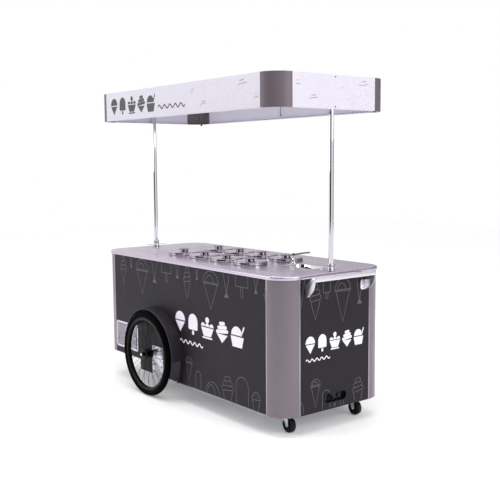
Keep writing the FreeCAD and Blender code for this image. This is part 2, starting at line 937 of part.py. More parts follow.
def make_handle_bar():
    half = handle_tube / 2
    bar = box(handle_x - half, handle_x + half, -handle_half, handle_half, handle_z - half, handle_z + half)
    long_edges = [e for e in bar.Edges if e.Length > handle_half]
    bar = bar.makeFillet(5, long_edges)
    inner = half - handle_wall
    bore = box(handle_x - inner, handle_x + inner, -half_w, half_w, handle_z - inner, handle_z + inner)
    return bar.cut(bore)


def make_handle_bracket():
    y0 = handle_half
    half = handle_tube / 2
    out = handle_x + half - 1
    top = handle_z + half - 1
    low_point = V(half_l, y0, flange_bottom)
    tip = V(out, y0, handle_z - half)
    belly = V(half_l + handle_reach * 0.78, y0, flange_bottom + (handle_z - flange_bottom) * 0.28)
    edges = [
        Part.Arc(low_point, belly, tip).toShape(),
        Part.makeLine(tip, V(out, y0, top)),
        Part.makeLine(V(out, y0, top), V(handle_x - half, y0, top)),
        Part.makeLine(V(handle_x - half, y0, top), V(half_l, y0, flange_top)),
        Part.makeLine(V(half_l, y0, flange_top), low_point),
    ]
    arm = Part.Face(Part.Wire(edges)).extrude(V(0, handle_bracket, 0))
    y1 = y0 + handle_bracket
    flange = box(half_l, half_l + handle_bracket, y0 - flange_width, y1, flange_bottom, flange_top)
    through = [e for e in flange.Edges if abs(e.Vertexes[0].X - e.Vertexes[1].X) > 1]
    corners = [e for e in through if e.BoundBox.YMax < y0]
    flange = flange.makeFillet(14, corners)
    return joined([arm, flange])


# Panel furniture: vent plate, power inlet, service door.


def make_vent():
    y1 = -half_w
    y0 = y1 - vent_sheet
    x0 = vent_x - vent_length / 2
    z0 = vent_z - vent_height / 2
    plate = box(x0, x0 + vent_length, y0, y1, z0, z0 + vent_height)
    corners = [e for e in plate.Edges if abs(e.Vertexes[0].Y - e.Vertexes[1].Y) > 0.5]
    plate = plate.makeFillet(20, corners)
    column = (vent_length - 2 * vent_border) / vent_columns
    row = (vent_height - 2 * vent_border) / vent_rows
    half_slot = column * slot_length_share / 2
    half_gap = row * slot_height_share / 2
    slots = []
    for i in range(vent_columns):
        for j in range(vent_rows):
            x = x0 + vent_border + (i + 0.5) * column
            z = z0 + vent_border + (j + 0.5) * row
            slots.append(box(x - half_slot, x + half_slot, y0 - 1, y1 + 1, z - half_gap, z + half_gap))
    return plate.cut(Part.makeCompound(slots))


def make_inlet():
    inside = half_l - inlet_depth
    cup = inlet_slot(inlet_wall, inside - inlet_wall, half_l)
    rim = inlet_slot(inlet_rim, half_l, half_l + 2)
    shell = joined([cup, rim]).cut(inlet_slot(0, inside, half_l + 3))
    socket = rod(19, V(inside, -35, inlet_z), V(inside + 12, -35, inlet_z))
    hollow = rod(16, V(inside + 1, -35, inlet_z), V(inside + 13, -35, inlet_z))
    pins = [rod(2, V(inside, -35 + dy, inlet_z + dz), V(inside + 10, -35 + dy, inlet_z + dz))
            for dy, dz in ((-7, -4), (7, -4), (0, 8))]
    button = box(inside, inside + 8, 30, 54, inlet_z - 11, inlet_z + 11)
    return joined([shell, socket.cut(hollow), button] + pins)


hinge_x = door_x + door_length / 2 + hinge_radius
hinge_y = half_w + hinge_radius
hinge_zs = [door_bottom + hinge_inset, door_bottom + door_height - hinge_inset]
latch_x = door_x - door_length / 2 + latch_inset
latch_z = door_bottom + door_height / 2
knuckle_radius = hinge_radius - fit_gap


def make_service_door():
    x0 = door_x - door_length / 2 + door_gap
    x1 = door_x + door_length / 2 - door_gap
    z0 = door_bottom + door_gap
    z1 = door_bottom + door_height - door_gap
    leaf = box(x0, x1, half_w - sheet, half_w, z0, z1)
    rim_x = latch_x + 60
    rim = box(rim_x, x1 - 12, half_w - 16, half_w - sheet, z0 + 8, z1 - 8)
    rim = rim.cut(box(rim_x + sheet, x1 - 14, half_w - 17, half_w, z0 + 10, z1 - 10))
    parts = [leaf, rim]
    lift = 0.6
    outside = half_w + hinge_sheet
    bores = []
    for z in hinge_zs:
        parts.append(box(x1 - leaf_reach, x1, half_w, outside, z - hinge_height / 2, z + hinge_height / 2))
        parts.append(box(x1, hinge_x, half_w + lift, outside + lift, z - knuckle, z + knuckle))
        at = V(hinge_x, hinge_y, z)
        parts.append(rod(knuckle_radius, at - V(0, 0, knuckle), at + V(0, 0, knuckle)))
        parts.append(box(x1 - 4, x1, half_w, outside + lift, z - knuckle, z + knuckle))
        low = V(hinge_x, hinge_y, z - knuckle - 1)
        high = V(hinge_x, hinge_y, z + knuckle + 1)
        bores.append(rod(hinge_pin + axle_fit, low, high))
    door = joined(parts)
    hole = latch_spindle + running_gap
    spindle = rod(hole, V(latch_x, half_w - 20, latch_z), V(latch_x, half_w + 1, latch_z))
    return without(door, bores + [spindle])


def make_door_hinges():
    shapes = []
    outside = half_w + hinge_sheet
    for z in hinge_zs:
        low = z - hinge_height / 2
        high = z + hinge_height / 2
        leaf = box(hinge_x + 4, hinge_x + 2 + leaf_reach, half_w, outside, low, high)
        parts = [leaf, rod(hinge_pin, V(hinge_x, hinge_y, low), V(hinge_x, hinge_y, high))]
        for sign in (-1, 1):
            za = sorted([z + sign * (knuckle + running_gap), z + sign * hinge_height / 2])
            parts.append(rod(knuckle_radius, V(hinge_x, hinge_y, za[0]), V(hinge_x, hinge_y, za[1])))
            parts.append(box(hinge_x, hinge_x + 6, half_w, outside, za[0], za[1]))
        shapes.append(joined(parts))
    return group(shapes)


def make_door_latch():
    y = half_w + running_gap
    face_thickness = 4
    width, depth, height = [v / 2 for v in latch_wing]
    face = rod(latch_face, V(latch_x, y, latch_z), V(latch_x, y + face_thickness, latch_z))
    low = y + face_thickness
    wing = box(latch_x - width, latch_x + width, low, low + 2 * depth, latch_z - height, latch_z + height)
    back = inner_w - running_gap
    spindle = rod(latch_spindle, V(latch_x, back - 3, latch_z), V(latch_x, y, latch_z))
    half = latch_tongue[0] / 2
    tongue = box(latch_x - half, latch_x + half, back - 3, back, latch_z - latch_tongue[1], latch_z + half)
    return joined([face, wing, spindle, tongue])


# Machinery inside the cabinet.

condenser_y = -inner_w + condenser_gap
shroud_y = condenser_y + condenser_depth


def make_condenser():
    half = vent_length / 2 - vent_border - 2
    high = vent_height / 2 - 4
    z0 = vent_z - high
    z1 = vent_z + high
    core = box(unit_x - half, unit_x + half, condenser_y, shroud_y, z0, z1)
    shroud = box(unit_x - half, unit_x + half, shroud_y, shroud_y + shroud_depth, z0, z1)
    shroud_end = shroud_y + shroud_depth
    mouth_radius = fan_radius + fan_tip_gap
    mouth = rod(mouth_radius, V(unit_x, shroud_y + 4, vent_z), V(unit_x, shroud_end + 1, vent_z))
    motor_y = shroud_end + 4
    motor = rod(motor_radius, V(unit_x, motor_y, vent_z), V(unit_x, motor_y + motor_length, vent_z))
    shaft = rod(motor_shaft, V(unit_x, shroud_y + 8, vent_z), V(unit_x, motor_y, vent_z))
    stays = []
    for dz in (-1, 1):
        z = sorted([vent_z + dz * 20, vent_z + dz * (high - 1)])
        stays.append(box(unit_x - 6, unit_x + 6, motor_y, motor_y + 4, z[0], z[1]))
        z = sorted([vent_z + dz * (high - 7), vent_z + dz * (high - 1)])
        stays.append(box(unit_x - 6, unit_x + 6, shroud_end - 2, motor_y + 4, z[0], z[1]))
    feet = box(unit_x - half, unit_x + half, condenser_y, condenser_y + 20, deck_high + base_sheet, z0)
    return joined([core, shroud.cut(mouth), motor, shaft, feet] + stays)


def make_fan():
    y0 = shroud_y + 8
    y1 = shroud_y + shroud_depth
    hub = rod(20, V(unit_x, y0, vent_z), V(unit_x, y1, vent_z))
    blades = []
    for i in range(fan_blades):
        blade = box(-13, 13, -1, 1, 15, fan_radius - 2)
        blade.rotate(V(0, 0, 0), V(0, 0, 1), 28)
        blade.translate(V(0, (y0 + y1) / 2, 0))
        blade.rotate(V(0, 0, 0), V(0, 1, 0), i * 360.0 / fan_blades)
        blade.translate(V(unit_x, 0, vent_z))
        blades.append(blade)
    bore = rod(motor_shaft + axle_fit, V(unit_x, y0 - 1, vent_z), V(unit_x, y1 + 1, vent_z))
    return joined([hub] + blades).cut(bore)


def make_compressor():
    low = deck_high + base_sheet
    foot = V(compressor_x, compressor_y, low)
    r = compressor_radius
    h = compressor_height
    profile = [(0, 14), (r * 0.7, 14), (r, 40), (r, h - 40), (r * 0.75, h - 12), (r * 0.35, h), (0, h)]
    can = revolved_z(profile, foot)
    x = compressor_x
    y = compressor_y
    plate = box(x - r, x + r, y - r, y + r, low + 10, low + 14)
    reach = r - 14
    feet = []
    for sx in (-1, 1):
        for sy in (-1, 1):
            at = V(x + sx * reach, y + sy * reach, low)
            feet.append(rod(10, at, at + V(0, 0, 10)))
    cover = box(x + r - 12, x + r + 22, y - 32, y + 32, low + 70, low + 130)
    stub = rod(5, foot + V(0, 0, h - 10), foot + V(0, 0, h + 60))
    return joined([can, plate, cover, stub] + feet)


def make_water_tanks():
    length, width, height = tank_bottle
    low = deck_low + base_sheet
    shapes = []
    for sign in (-1, 1):
        x = door_x + sign * (length / 2 + 6)
        body = box(x - length / 2, x + length / 2, 150, 150 + width, low, low + height)
        body = body.makeFillet(18, body.Edges)
        neck = rod(24, V(x, 200, low + height - 4), V(x, 200, low + height + 22))
        shapes.append(joined([body, neck]))
    return group(shapes)


# Screws, washers and nuts.


def screw(at, way, radius, height):
    head = rod(radius, at, at + way * height)
    top = [e for e in head.Edges if e.Length > 6 and abs((e.CenterOfMass - at).dot(way) - height) < 0.01]
    return head.makeFillet(height * 0.6, top)


def make_fasteners():
    out = V(1, 0, 0)
    heads = []
    for sign in SIDES.values():
        for part in (0.18, 0.5, 0.82):
            z = flange_bottom + part * (flange_top - flange_bottom)
            y = sign * (handle_half - flange_width * (0.62 if part == 0.5 else 0.42))
            heads.append(screw(V(half_l + handle_bracket, y, z), out, 4.5, 3))
    bolt = []
    for dx in (-0.38, 0.38):
        for z in (bracket_bottom + 18, bracket_bottom + 70, bracket_top - 18):
            at = V(wheel_x + dx * bracket_width, -half_w - bracket_sheet, z)
            bolt.append(screw(at, V(0, -1, 0), 6.5, 5))
    centre = V(wheel_x, hub_outer_y - running_gap, wheel_z)
    corners = []
    for i in range(7):
        turn = math.radians(60 * i)
        corners.append(centre + V(nut_size * math.cos(turn), 0, nut_size * math.sin(turn)))
    nut = Part.Face(Part.makePolygon(corners)).extrude(V(0, -nut_height, 0))
    bolt.append(nut.cut(rod(axle_radius, centre + V(0, 1, 0), centre - V(0, nut_height + 1, 0))))
    heads += bolt + [mirror_y(b) for b in bolt]
    return group(heads)


def make_canopy_screws():
    heads = []
    for sign in ENDS.values():
        for z in (canopy_bottom + 13, canopy_top - 13):
            heads.append(screw(V(sign * canopy_length / 2, 0, z), V(sign, 0, 0), 4, 2.5))
    return heads


def main():
    os.makedirs("parts", exist_ok=True)
    save("chassis_frame", make_chassis())
    save("base_plate", make_base_plate())
    save("front_panel", make_front_panel())
    save("back_panel", make_back_panel())
    save("left_end_panel", end_panel(-1))
    save("right_end_panel", make_right_end_panel())
    save("corner_posts", make_corner_posts())
    save("corner_trims", make_corner_trims())
    save("countertop", make_countertop())
    save("tubs", make_tubs())
    save("cold_tank", make_cold_tank())
    for side, sign in SIDES.items():
        for i, x in enumerate(tub_xs):
            save("lid_%s_%d" % (side, i + 1), make_lid(x, sign * tub_row_y))
    save("dipper_basin", make_basin())
    save("tap_body", make_tap_body())
    save("tap_spout", make_tap_spout())
    save("tap_lever", make_tap_lever())
    save("pole_sockets", group(make_socket(s) for s in ENDS.values()))
    for end, sign in ENDS.items():
        save("clamp_ring_" + end, make_clamp_ring(sign))
    save("poles", make_poles())
    save("canopy_frame", make_canopy_frame())
    save("canopy_roof", make_canopy_roof())
    save("canopy_fascia", group(make_fascia().Solids + make_canopy_screws()))
    save("canopy_corners", make_canopy_corners())
    wheel = {"tyre": make_tyre(), "rim": make_rim(), "spokes": make_spokes(), "hub": make_hub(),
             "axle_bracket": make_axle_bracket(), "mudguard": make_mudguard()}
    for name, shape in wheel.items():
        save(name + "_front", shape)
        save(name + "_back", mirror_y(shape))
    save("caster_plates", group(make_caster_plate(s) for s in SIDES.values()))
    for side, sign in SIDES.items():
        save("caster_fork_" + side, make_caster_fork(sign))
        save("caster_wheel_" + side, make_caster_wheel(sign))
    save("handle_bar", make_handle_bar())
    bracket = make_handle_bracket()
    save("handle_brackets", group([bracket, mirror_y(bracket)]))
    save("vent_grille", make_vent())
    save("power_inlet", make_inlet())
    save("service_door", make_service_door())
    save("door_hinges", make_door_hinges())
    save("door_latch", make_door_latch())
    save("condenser", make_condenser())
    save("fan_rotor", make_fan())
    save("compressor", make_compressor())
    save("water_tanks", make_water_tanks())
    save("fasteners", make_fasteners())


main()
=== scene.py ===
import math

import bmesh
import bpy
from mathutils import Matrix, Vector


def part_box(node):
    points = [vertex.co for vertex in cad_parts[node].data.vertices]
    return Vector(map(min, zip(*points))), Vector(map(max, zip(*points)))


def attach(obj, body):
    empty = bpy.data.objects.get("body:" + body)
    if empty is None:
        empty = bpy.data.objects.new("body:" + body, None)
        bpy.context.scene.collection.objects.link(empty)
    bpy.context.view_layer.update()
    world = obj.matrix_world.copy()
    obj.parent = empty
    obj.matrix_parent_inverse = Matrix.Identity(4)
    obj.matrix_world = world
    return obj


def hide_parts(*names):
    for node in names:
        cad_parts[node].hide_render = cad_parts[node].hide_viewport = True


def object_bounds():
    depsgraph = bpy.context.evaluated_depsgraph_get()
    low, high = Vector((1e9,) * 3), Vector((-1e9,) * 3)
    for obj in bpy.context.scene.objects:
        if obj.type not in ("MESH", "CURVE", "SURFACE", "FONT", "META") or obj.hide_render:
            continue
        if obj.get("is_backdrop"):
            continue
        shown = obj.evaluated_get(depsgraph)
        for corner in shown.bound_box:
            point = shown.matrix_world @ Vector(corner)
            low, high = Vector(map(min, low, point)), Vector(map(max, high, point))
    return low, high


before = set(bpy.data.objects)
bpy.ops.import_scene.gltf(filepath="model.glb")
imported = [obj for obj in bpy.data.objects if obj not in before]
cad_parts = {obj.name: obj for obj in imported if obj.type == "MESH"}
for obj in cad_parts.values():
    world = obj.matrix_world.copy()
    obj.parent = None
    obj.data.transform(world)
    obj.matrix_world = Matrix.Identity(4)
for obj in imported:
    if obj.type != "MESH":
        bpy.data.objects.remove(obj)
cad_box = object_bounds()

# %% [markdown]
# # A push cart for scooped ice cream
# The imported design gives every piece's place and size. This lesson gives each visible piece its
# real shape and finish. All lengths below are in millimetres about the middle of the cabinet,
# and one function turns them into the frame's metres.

MM = 0.001
SIDES = {"front": -1, "back": 1}
ENDS = {"left": -1, "right": 1}
counter_lo, counter_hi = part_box("countertop")
MIDDLE_X = (counter_lo[0] + counter_hi[0]) / 2


def cad(node):
    """A node's lowest and highest corners, in millimetres about the cabinet's middle."""
    lo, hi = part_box(node)
    return [Vector(((p[0] - MIDDLE_X) / MM, p[1] / MM, p[2] / MM)) for p in (lo, hi)]


def placed(x, y, z):
    """A point of the cabinet as a point of the frame, in metres."""
    return Vector((x * MM + MIDDLE_X, y * MM, z * MM))


print("middle of the cabinet at x =", round(MIDDLE_X, 5))

# %% [markdown]
# ## The camera
# The cart is seen from the right of its serving side, a little above the counter. The distance
# matters as much as the angle, because it sets how strongly the long side tapers.

# %% Camera
AZIMUTH, PITCH, ROLL = math.radians(51.88), math.radians(6.10), math.radians(-0.416)
look = Vector((-math.sin(AZIMUTH) * math.cos(PITCH), math.cos(AZIMUTH) * math.cos(PITCH), -math.sin(PITCH)))
level = Vector((math.cos(AZIMUTH), math.sin(AZIMUTH), 0))
rise = level.cross(look)
right = math.cos(ROLL) * level + math.sin(ROLL) * rise
up = math.cos(ROLL) * rise - math.sin(ROLL) * level
camera = bpy.data.objects.new("camera", bpy.data.cameras.new("camera"))
camera.data.lens = 58.80
camera.data.sensor_width = 36
camera.data.clip_end = 60
camera.matrix_world = Matrix.Translation(placed(4645.7, -3478.9, 1650.4)) @ Matrix((
    (right.x, up.x, -look.x, 0), (right.y, up.y, -look.y, 0), (right.z, up.z, -look.z, 0), (0, 0, 0, 1)))
bpy.context.scene.collection.objects.link(camera)
bpy.context.scene.camera = camera
bpy.context.scene.view_settings.view_transform = "Standard"

# %% [markdown]
# ## Light
# A room with a white ceiling, a dark wall on the serving side, a grey one at the back and white
# ones at both ends. Polished metal shows only what is around it, so in an all-white room the lids
# and poles would look like paper. The camera itself sees a plain white backdrop.

# %% World, lamps and floor


def linear(hex_colour):
    """An sRGB hex value as the linear colour that the shader works in."""
    values = [int(hex_colour[i:i + 2], 16) / 255 for i in (1, 3, 5)]
    return tuple(v / 12.92 if v <= 0.04045 else ((v + 0.055) / 1.055) ** 2.4 for v in values) + (1.0,)


def add(tree, kind, links=None, **settings):
    """Adds a node. A link's value is a socket to join or a number to set."""
    node = tree.nodes.new(kind)
    for key, value in settings.items():
        setattr(node, key, value)
    for key, value in (links or {}).items():
        if isinstance(value, bpy.types.NodeSocket):
            tree.links.new(value, node.inputs[key])
        else:
            node.inputs[key].default_value = value
    return node


world = bpy.data.worlds.new("white room")
bpy.context.scene.world = world
world.use_nodes = True
room = world.node_tree
room.nodes.clear()
direction = add(room, "ShaderNodeTexCoord").outputs["Generated"]
axes = add(room, "ShaderNodeSeparateXYZ", {"Vector": direction}).outputs
bearing = add(room, "ShaderNodeMath", {0: axes["Y"], 1: axes["X"]}, operation="ARCTAN2").outputs["Value"]
around = add(room, "ShaderNodeMapRange", {"Value": bearing, "From Min": -math.pi, "From Max": math.pi})
walls = add(room, "ShaderNodeValToRGB", {"Fac": around.outputs["Result"]})
# Bearing in degrees from +X, and how bright the wall is there.
WALLS = ((-180, 1.0), (-122, 1.0), (-108, 0.04), (-46, 0.04), (-36, 0.95), (20, 0.9), (48, 0.35),
         (90, 0.22), (122, 0.36), (144, 0.7), (162, 1.0))
stops = walls.color_ramp.elements
while len(stops) < len(WALLS):
    stops.new(0.5)
for stop, (degrees, level) in zip(stops, WALLS):
    stop.position = (degrees + 180) / 360
    stop.color = (level, level, 1.02 * level, 1)
ceiling = add(room, "ShaderNodeMapRange", {"Value": axes["Z"], "From Min": 0.45, "From Max": 0.7})
lit = add(room, "ShaderNodeMix", {"Factor": ceiling.outputs["Result"], "A": walls.outputs["Color"],
                                  "B": (1, 1, 1, 1)}, data_type="RGBA")
room_light = add(room, "ShaderNodeBackground", {"Color": lit.outputs["Result"], "Strength": 1.05})
backdrop = add(room, "ShaderNodeBackground", {"Color": (1, 1, 1, 1), "Strength": 1.0})
ray = add(room, "ShaderNodeLightPath").outputs["Is Camera Ray"]
seen = add(room, "ShaderNodeMixShader", {0: ray, 1: room_light.outputs["Background"],
                                         2: backdrop.outputs["Background"]})
add(room, "ShaderNodeOutputWorld", {"Surface": seen.outputs["Shader"]})


def soft_lamp(name, place, target, width, power):
    lamp = bpy.data.lights.new(name, "AREA")
    lamp.shape = "RECTANGLE"
    lamp.size = width
    lamp.size_y = width * 0.7
    lamp.energy = power
    obj = bpy.data.objects.new(name, lamp)
    obj.location = place
    obj.rotation_euler = (Vector(target) - Vector(place)).to_track_quat("-Z", "Y").to_euler()
    bpy.context.scene.collection.objects.link(obj)


soft_lamp("overhead_softbox", (0.3, -0.6, 4.6), (0, 0, 0.8), 3.6, 95)
soft_lamp("end_softbox", (4.6, 0.9, 2.6), (0.6, 0, 0.7), 2.2, 60)
soft_lamp("front_softbox", (-2.2, -4.4, 2.4), (0, 0, 0.7), 2.6, 45)


def material(name, colour, metallic=0.0, roughness=0.5, **sockets):
    """A new material with its shader's constant values set on the shader itself."""
    made = bpy.data.materials.new(name)
    made.use_nodes = True
    tree = made.node_tree
    tree.nodes.clear()
    shader = add(tree, "ShaderNodeBsdfPrincipled",
                 {"Base Color": linear(colour), "Metallic": metallic, "Roughness": roughness})
    for key, value in sockets.items():
        shader.inputs[key.replace("_", " ")].default_value = value
    add(tree, "ShaderNodeOutputMaterial", {"Surface": shader.outputs["BSDF"]})
    return made, tree, shader


floor_finish, floor_tree, floor_shader = material("matt white studio floor", "#f7f7f8", roughness=0.9)
grain = add(floor_tree, "ShaderNodeTexNoise", {"Scale": 3.0, "Detail": 2.0})
tint = add(floor_tree, "ShaderNodeMix", {"Factor": grain.outputs["Fac"], "A": linear("#f6f6f7"),
                                         "B": linear("#fbfbfc")}, data_type="RGBA")
floor_tree.links.new(tint.outputs["Result"], floor_shader.inputs["Base Color"])
floor_shader.inputs["Emission Color"].default_value = (1, 1, 1, 1)
floor_shader.inputs["Emission Strength"].default_value = 0.14
floor_mesh = bpy.data.meshes.new("studio_floor")
floor_mesh.from_pydata([(-14, -14, 0), (14, -14, 0), (14, 14, 0), (-14, 14, 0)], [], [(0, 1, 2, 3)])
floor_mesh.materials.append(floor_finish)
floor = bpy.data.objects.new("studio_floor", floor_mesh)
bpy.context.scene.collection.objects.link(floor)
floor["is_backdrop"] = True

# %% [markdown]
# ## Finishes
# Each finish starts from the real material and how its surface was made. Pattern scales are
# worked out from real sizes: object coordinates are in metres, so a pattern that repeats every
# `size` millimetres has a scale of 1000 / size.

# %% Shared surface texture


def per_metre(size):
    return 1000.0 / size


def stretched(tree, sizes):
    """Object coordinates scaled so that one noise cell is as large as sizes, in millimetres."""
    place = add(tree, "ShaderNodeTexCoord").outputs["Object"]
    scale = tuple(per_metre(s) for s in sizes)
    return add(tree, "ShaderNodeMapping", {"Vector": place, "Scale": scale}).outputs["Vector"]


def speckle(tree, sizes, detail=3.0):
    settings = {"Vector": stretched(tree, sizes), "Scale": 1.0, "Detail": detail}
    return add(tree, "ShaderNodeTexNoise", settings).outputs["Fac"]


def vary_roughness(tree, shader, fac, low, high):
    span = add(tree, "ShaderNodeMapRange", {"Value": fac, "To Min": low, "To Max": high})
    tree.links.new(span.outputs["Result"], shader.inputs["Roughness"])


def vary_colour(tree, shader, fac, first, second):
    ends = {"Factor": fac, "A": linear(first), "B": linear(second)}
    mix = add(tree, "ShaderNodeMix", ends, data_type="RGBA")
    tree.links.new(mix.outputs["Result"], shader.inputs["Base Color"])


def raise_surface(tree, shader, fac, height, strength=0.5):
    bump = add(tree, "ShaderNodeBump", {"Height": fac, "Distance": height * MM, "Strength": strength})
    tree.links.new(bump.outputs["Normal"], shader.inputs["Normal"])


def painted(name, first, second, rough, grain_size, height, **sockets):
    """Paint, film or moulded plastic: two close colours, uneven gloss and a fine raised grain."""
    made, tree, shader = material(name, first, 0.0, rough, **sockets)
    vary_colour(tree, shader, speckle(tree, (90, 90, 90)), first, second)
    vary_roughness(tree, shader, speckle(tree, (35, 35, 35)), rough * 0.85, rough * 1.15)
    raise_surface(tree, shader, speckle(tree, (grain_size,) * 3, 2.0), height)
    return made


def metal(name, first, second, rough, cell, height, **sockets):
    """Metal whose polishing marks are as long and wide as cell, in millimetres."""
    made, tree, shader = material(name, first, 1.0, rough, **sockets)
    marks = speckle(tree, cell)
    vary_colour(tree, shader, marks, first, second)
    vary_roughness(tree, shader, marks, rough * 0.7, rough * 1.3)
    raise_surface(tree, shader, marks, height, 0.3)
    return made


# %% [markdown]
# Charcoal film on sheet, taupe powder coat on the rounded posts, white coated aluminium above, with a
# brighter copy of that white as painted light for the canopy's shaded underside.
# Film has a slight orange peel about 3 mm across; powder coat is finer and a little glossier.

# %% Paints, films and plastics
charcoal_film = painted("charcoal vinyl film", "#1e1a21", "#231f26", 0.5, 3.0, 0.03,
                        Specular_IOR_Level=0.18)
guard_paint = painted("charcoal powder-coated steel", "#241f27", "#29242c", 0.42, 1.6, 0.03,
                      Specular_IOR_Level=0.25)
taupe_coat = painted("taupe powder-coated aluminium", "#6b6069", "#71666f", 0.36, 1.2, 0.02,
                     Coat_Weight=0.25, Coat_Roughness=0.3)
canopy_taupe = painted("taupe film on aluminium", "#5c5159", "#61565e", 0.45, 1.2, 0.02)
# The two whites below are one white coat: the brighter copy is painted light for the canopy's shaded
# underside and corner insides, and the darker one is the fascia's.
white_sheet_lit_underside = painted("white gloss aluminium sheet, painted light underneath", "#f9f8fc", "#fcfbfe", 0.3, 2.0, 0.01)
white_coat = painted("white coated aluminium", "#ccc8d4", "#d2ceda", 0.35, 2.0, 0.015)
black_coat = painted("black powder-coated steel", "#0c0c0e", "#121214", 0.45, 1.0, 0.04,
                     Specular_IOR_Level=0.3)
black_plastic = painted("black moulded ABS", "#09090a", "#0e0e10", 0.4, 0.8, 0.03, Specular_IOR_Level=0.3)
black_alloy = painted("gloss black coated alloy", "#030303", "#060607", 0.3, 1.5, 0.01,
                      Specular_IOR_Level=0.12)
tyre_rubber = painted("black tyre rubber", "#020202", "#040405", 0.7, 1.2, 0.06, Specular_IOR_Level=0.03)
caster_rubber = painted("black caster rubber", "#070708", "#0c0c0e", 0.5, 1.0, 0.04,
                        Specular_IOR_Level=0.2)
caster_core = painted("grey moulded nylon", "#6f7078", "#7b7c84", 0.42, 1.0, 0.03)
bottle_plastic = painted("milky polyethylene", "#dfe3e6", "#e8ecee", 0.45, 2.0, 0.05, Subsurface_Weight=0.1)
line_ink = painted("grey line print", "#4b494e", "#4f4d52", 0.45, 2.0, 0.01)
pale_ink = painted("pale grey line print", "#d3cfd9", "#d9d5df", 0.4, 2.0, 0.01)
white_ink = painted("white vinyl cut", "#e6e2ee", "#ece8f3", 0.4, 2.0, 0.01)
dark_ink = painted("charcoal vinyl cut", "#3a373d", "#403d43", 0.4, 2.0, 0.01)

# %% [markdown]
# Stainless steel is brushed along the counter, so its marks are long and thin. Spun lids, poles
# and the tap's column are polished until only faint wiping marks are left. The spout has a satin
# nickel plate, which is darker and shows no sharp reflections.

# %% Metals
brushed_steel = metal("brushed stainless steel", "#bdb2c3", "#ccc1d1", 0.26, (180, 1.6, 1.6), 0.006)
handle_steel = metal("satin stainless steel", "#dcd9e0", "#e6e3ea", 0.34, (2, 60, 2), 0.005)
polished_steel = metal("polished stainless steel", "#cfcad2", "#dad6dd", 0.09, (40, 40, 40), 0.002)
spun_steel = metal("spun stainless steel", "#a096a1", "#b0a6b1", 0.1, (14, 14, 2), 0.003)
satin_nickel = metal("satin nickel-plated tube", "#65636a", "#737178", 0.3, (20, 20, 20), 0.002)
chrome_plate = metal("chromium-plated brass", "#dcdae0", "#e4e2e8", 0.05, (30, 30, 30), 0.001)
edge_strip = metal("bright anodised aluminium", "#9a949c", "#aaa4ac", 0.28, (3, 3, 120), 0.004)
zinc_plate = metal("zinc-plated steel", "#a9abb0", "#c0c2c6", 0.32, (9, 9, 9), 0.01)
vent_steel = metal("stamped stainless steel", "#c3bcc9", "#d4ceda", 0.3, (60, 2, 2), 0.005)
# The fins are not modelled: stripes from mid grey to near black paint the fins and the shade in the gaps
# between them.
fin_stripes_painted_gaps = metal("aluminium fins with painted gap shade", "#505256", "#1c1d1f", 0.45, (2, 200, 200), 0.4)
print("finishes:", len(bpy.data.materials))

# %% [markdown]
# ## Mesh helpers
# Turned parts are lathed, folded and cut parts are prisms, bent rods are swept. Each helper adds
# faces to one mesh, so that a piece made of several shapes stays one object.

# %% Lathe, prism, sweep


def axis_point(axis, a, b, along):
    """Turns two cross coordinates and one along the axis into a point."""
    return {"X": Vector((along, a, b)), "Y": Vector((a, along, b)), "Z": Vector((a, b, along))}[axis]


def lathe(bm, profile, centre, axis="Z", steps=64, mat=0, closed=True):
    """Turns (radius, height) points about an axis. A radius of 0 closes an end in a point."""
    rings = []
    for radius, height in profile:
        if radius < 1e-6:
            rings.append([bm.verts.new(Vector(centre) + axis_point(axis, 0, 0, height))])
            continue
        turns = (2 * math.pi * i / steps for i in range(steps))
        circle = [(radius * math.cos(t), radius * math.sin(t)) for t in turns]
        rings.append([bm.verts.new(Vector(centre) + axis_point(axis, a, b, height)) for a, b in circle])
    pairs = list(zip(rings, rings[1:]))
    if closed:
        pairs.append((rings[-1], rings[0]))
    for low, high in pairs:
        for i in range(steps):
            j = (i + 1) % steps
            corners = [low[i % len(low)], low[j % len(low)], high[j % len(high)], high[i % len(high)]]
            unique = list(dict.fromkeys(corners))
            if len(unique) > 2:
                bm.faces.new(unique).material_index = mat


def prism(bm, outline, low, high, axis="Z", mat=0):
    """Extrudes a closed outline along an axis. Returns the two end faces."""
    bottom = [bm.verts.new(axis_point(axis, u, v, low)) for u, v in outline]
    top = [bm.verts.new(axis_point(axis, u, v, high)) for u, v in outline]
    ends = [bm.faces.new(bottom[::-1]), bm.faces.new(top)]
    count = len(outline)
    for i in range(count):
        j = (i + 1) % count
        bm.faces.new((bottom[i], bottom[j], top[j], top[i])).material_index = mat
    for face in ends:
        face.material_index = mat
    return ends


def frame_prism(bm, outer, inner, low, high, axis="Z", mat=0):
    """A prism with a hole: outer and inner have the same number of points."""
    rings = []
    for outline, level in ((outer, low), (outer, high), (inner, high), (inner, low)):
        rings.append([bm.verts.new(axis_point(axis, u, v, level)) for u, v in outline])
    count = len(outer)
    for k in range(4):
        first, second = rings[k], rings[(k + 1) % 4]
        for i in range(count):
            j = (i + 1) % count
            bm.faces.new((first[i], first[j], second[j], second[i])).material_index = mat


def arc(cx, cy, radius, start, stop, steps):
    """Points on an arc, from start to stop in degrees."""
    turns = [math.radians(start + (stop - start) * i / steps) for i in range(steps + 1)]
    return [(cx + radius * math.cos(t), cy + radius * math.sin(t)) for t in turns]


def rounded_outline(length, width, radius, steps=12, cx=0.0, cy=0.0):
    x, y = length / 2 - radius, width / 2 - radius
    points = []
    for sx, sy, start in ((1, 1, 0), (-1, 1, 90), (-1, -1, 180), (1, -1, 270)):
        points += arc(cx + sx * x, cy + sy * y, radius, start, start + 90, steps)
    return points


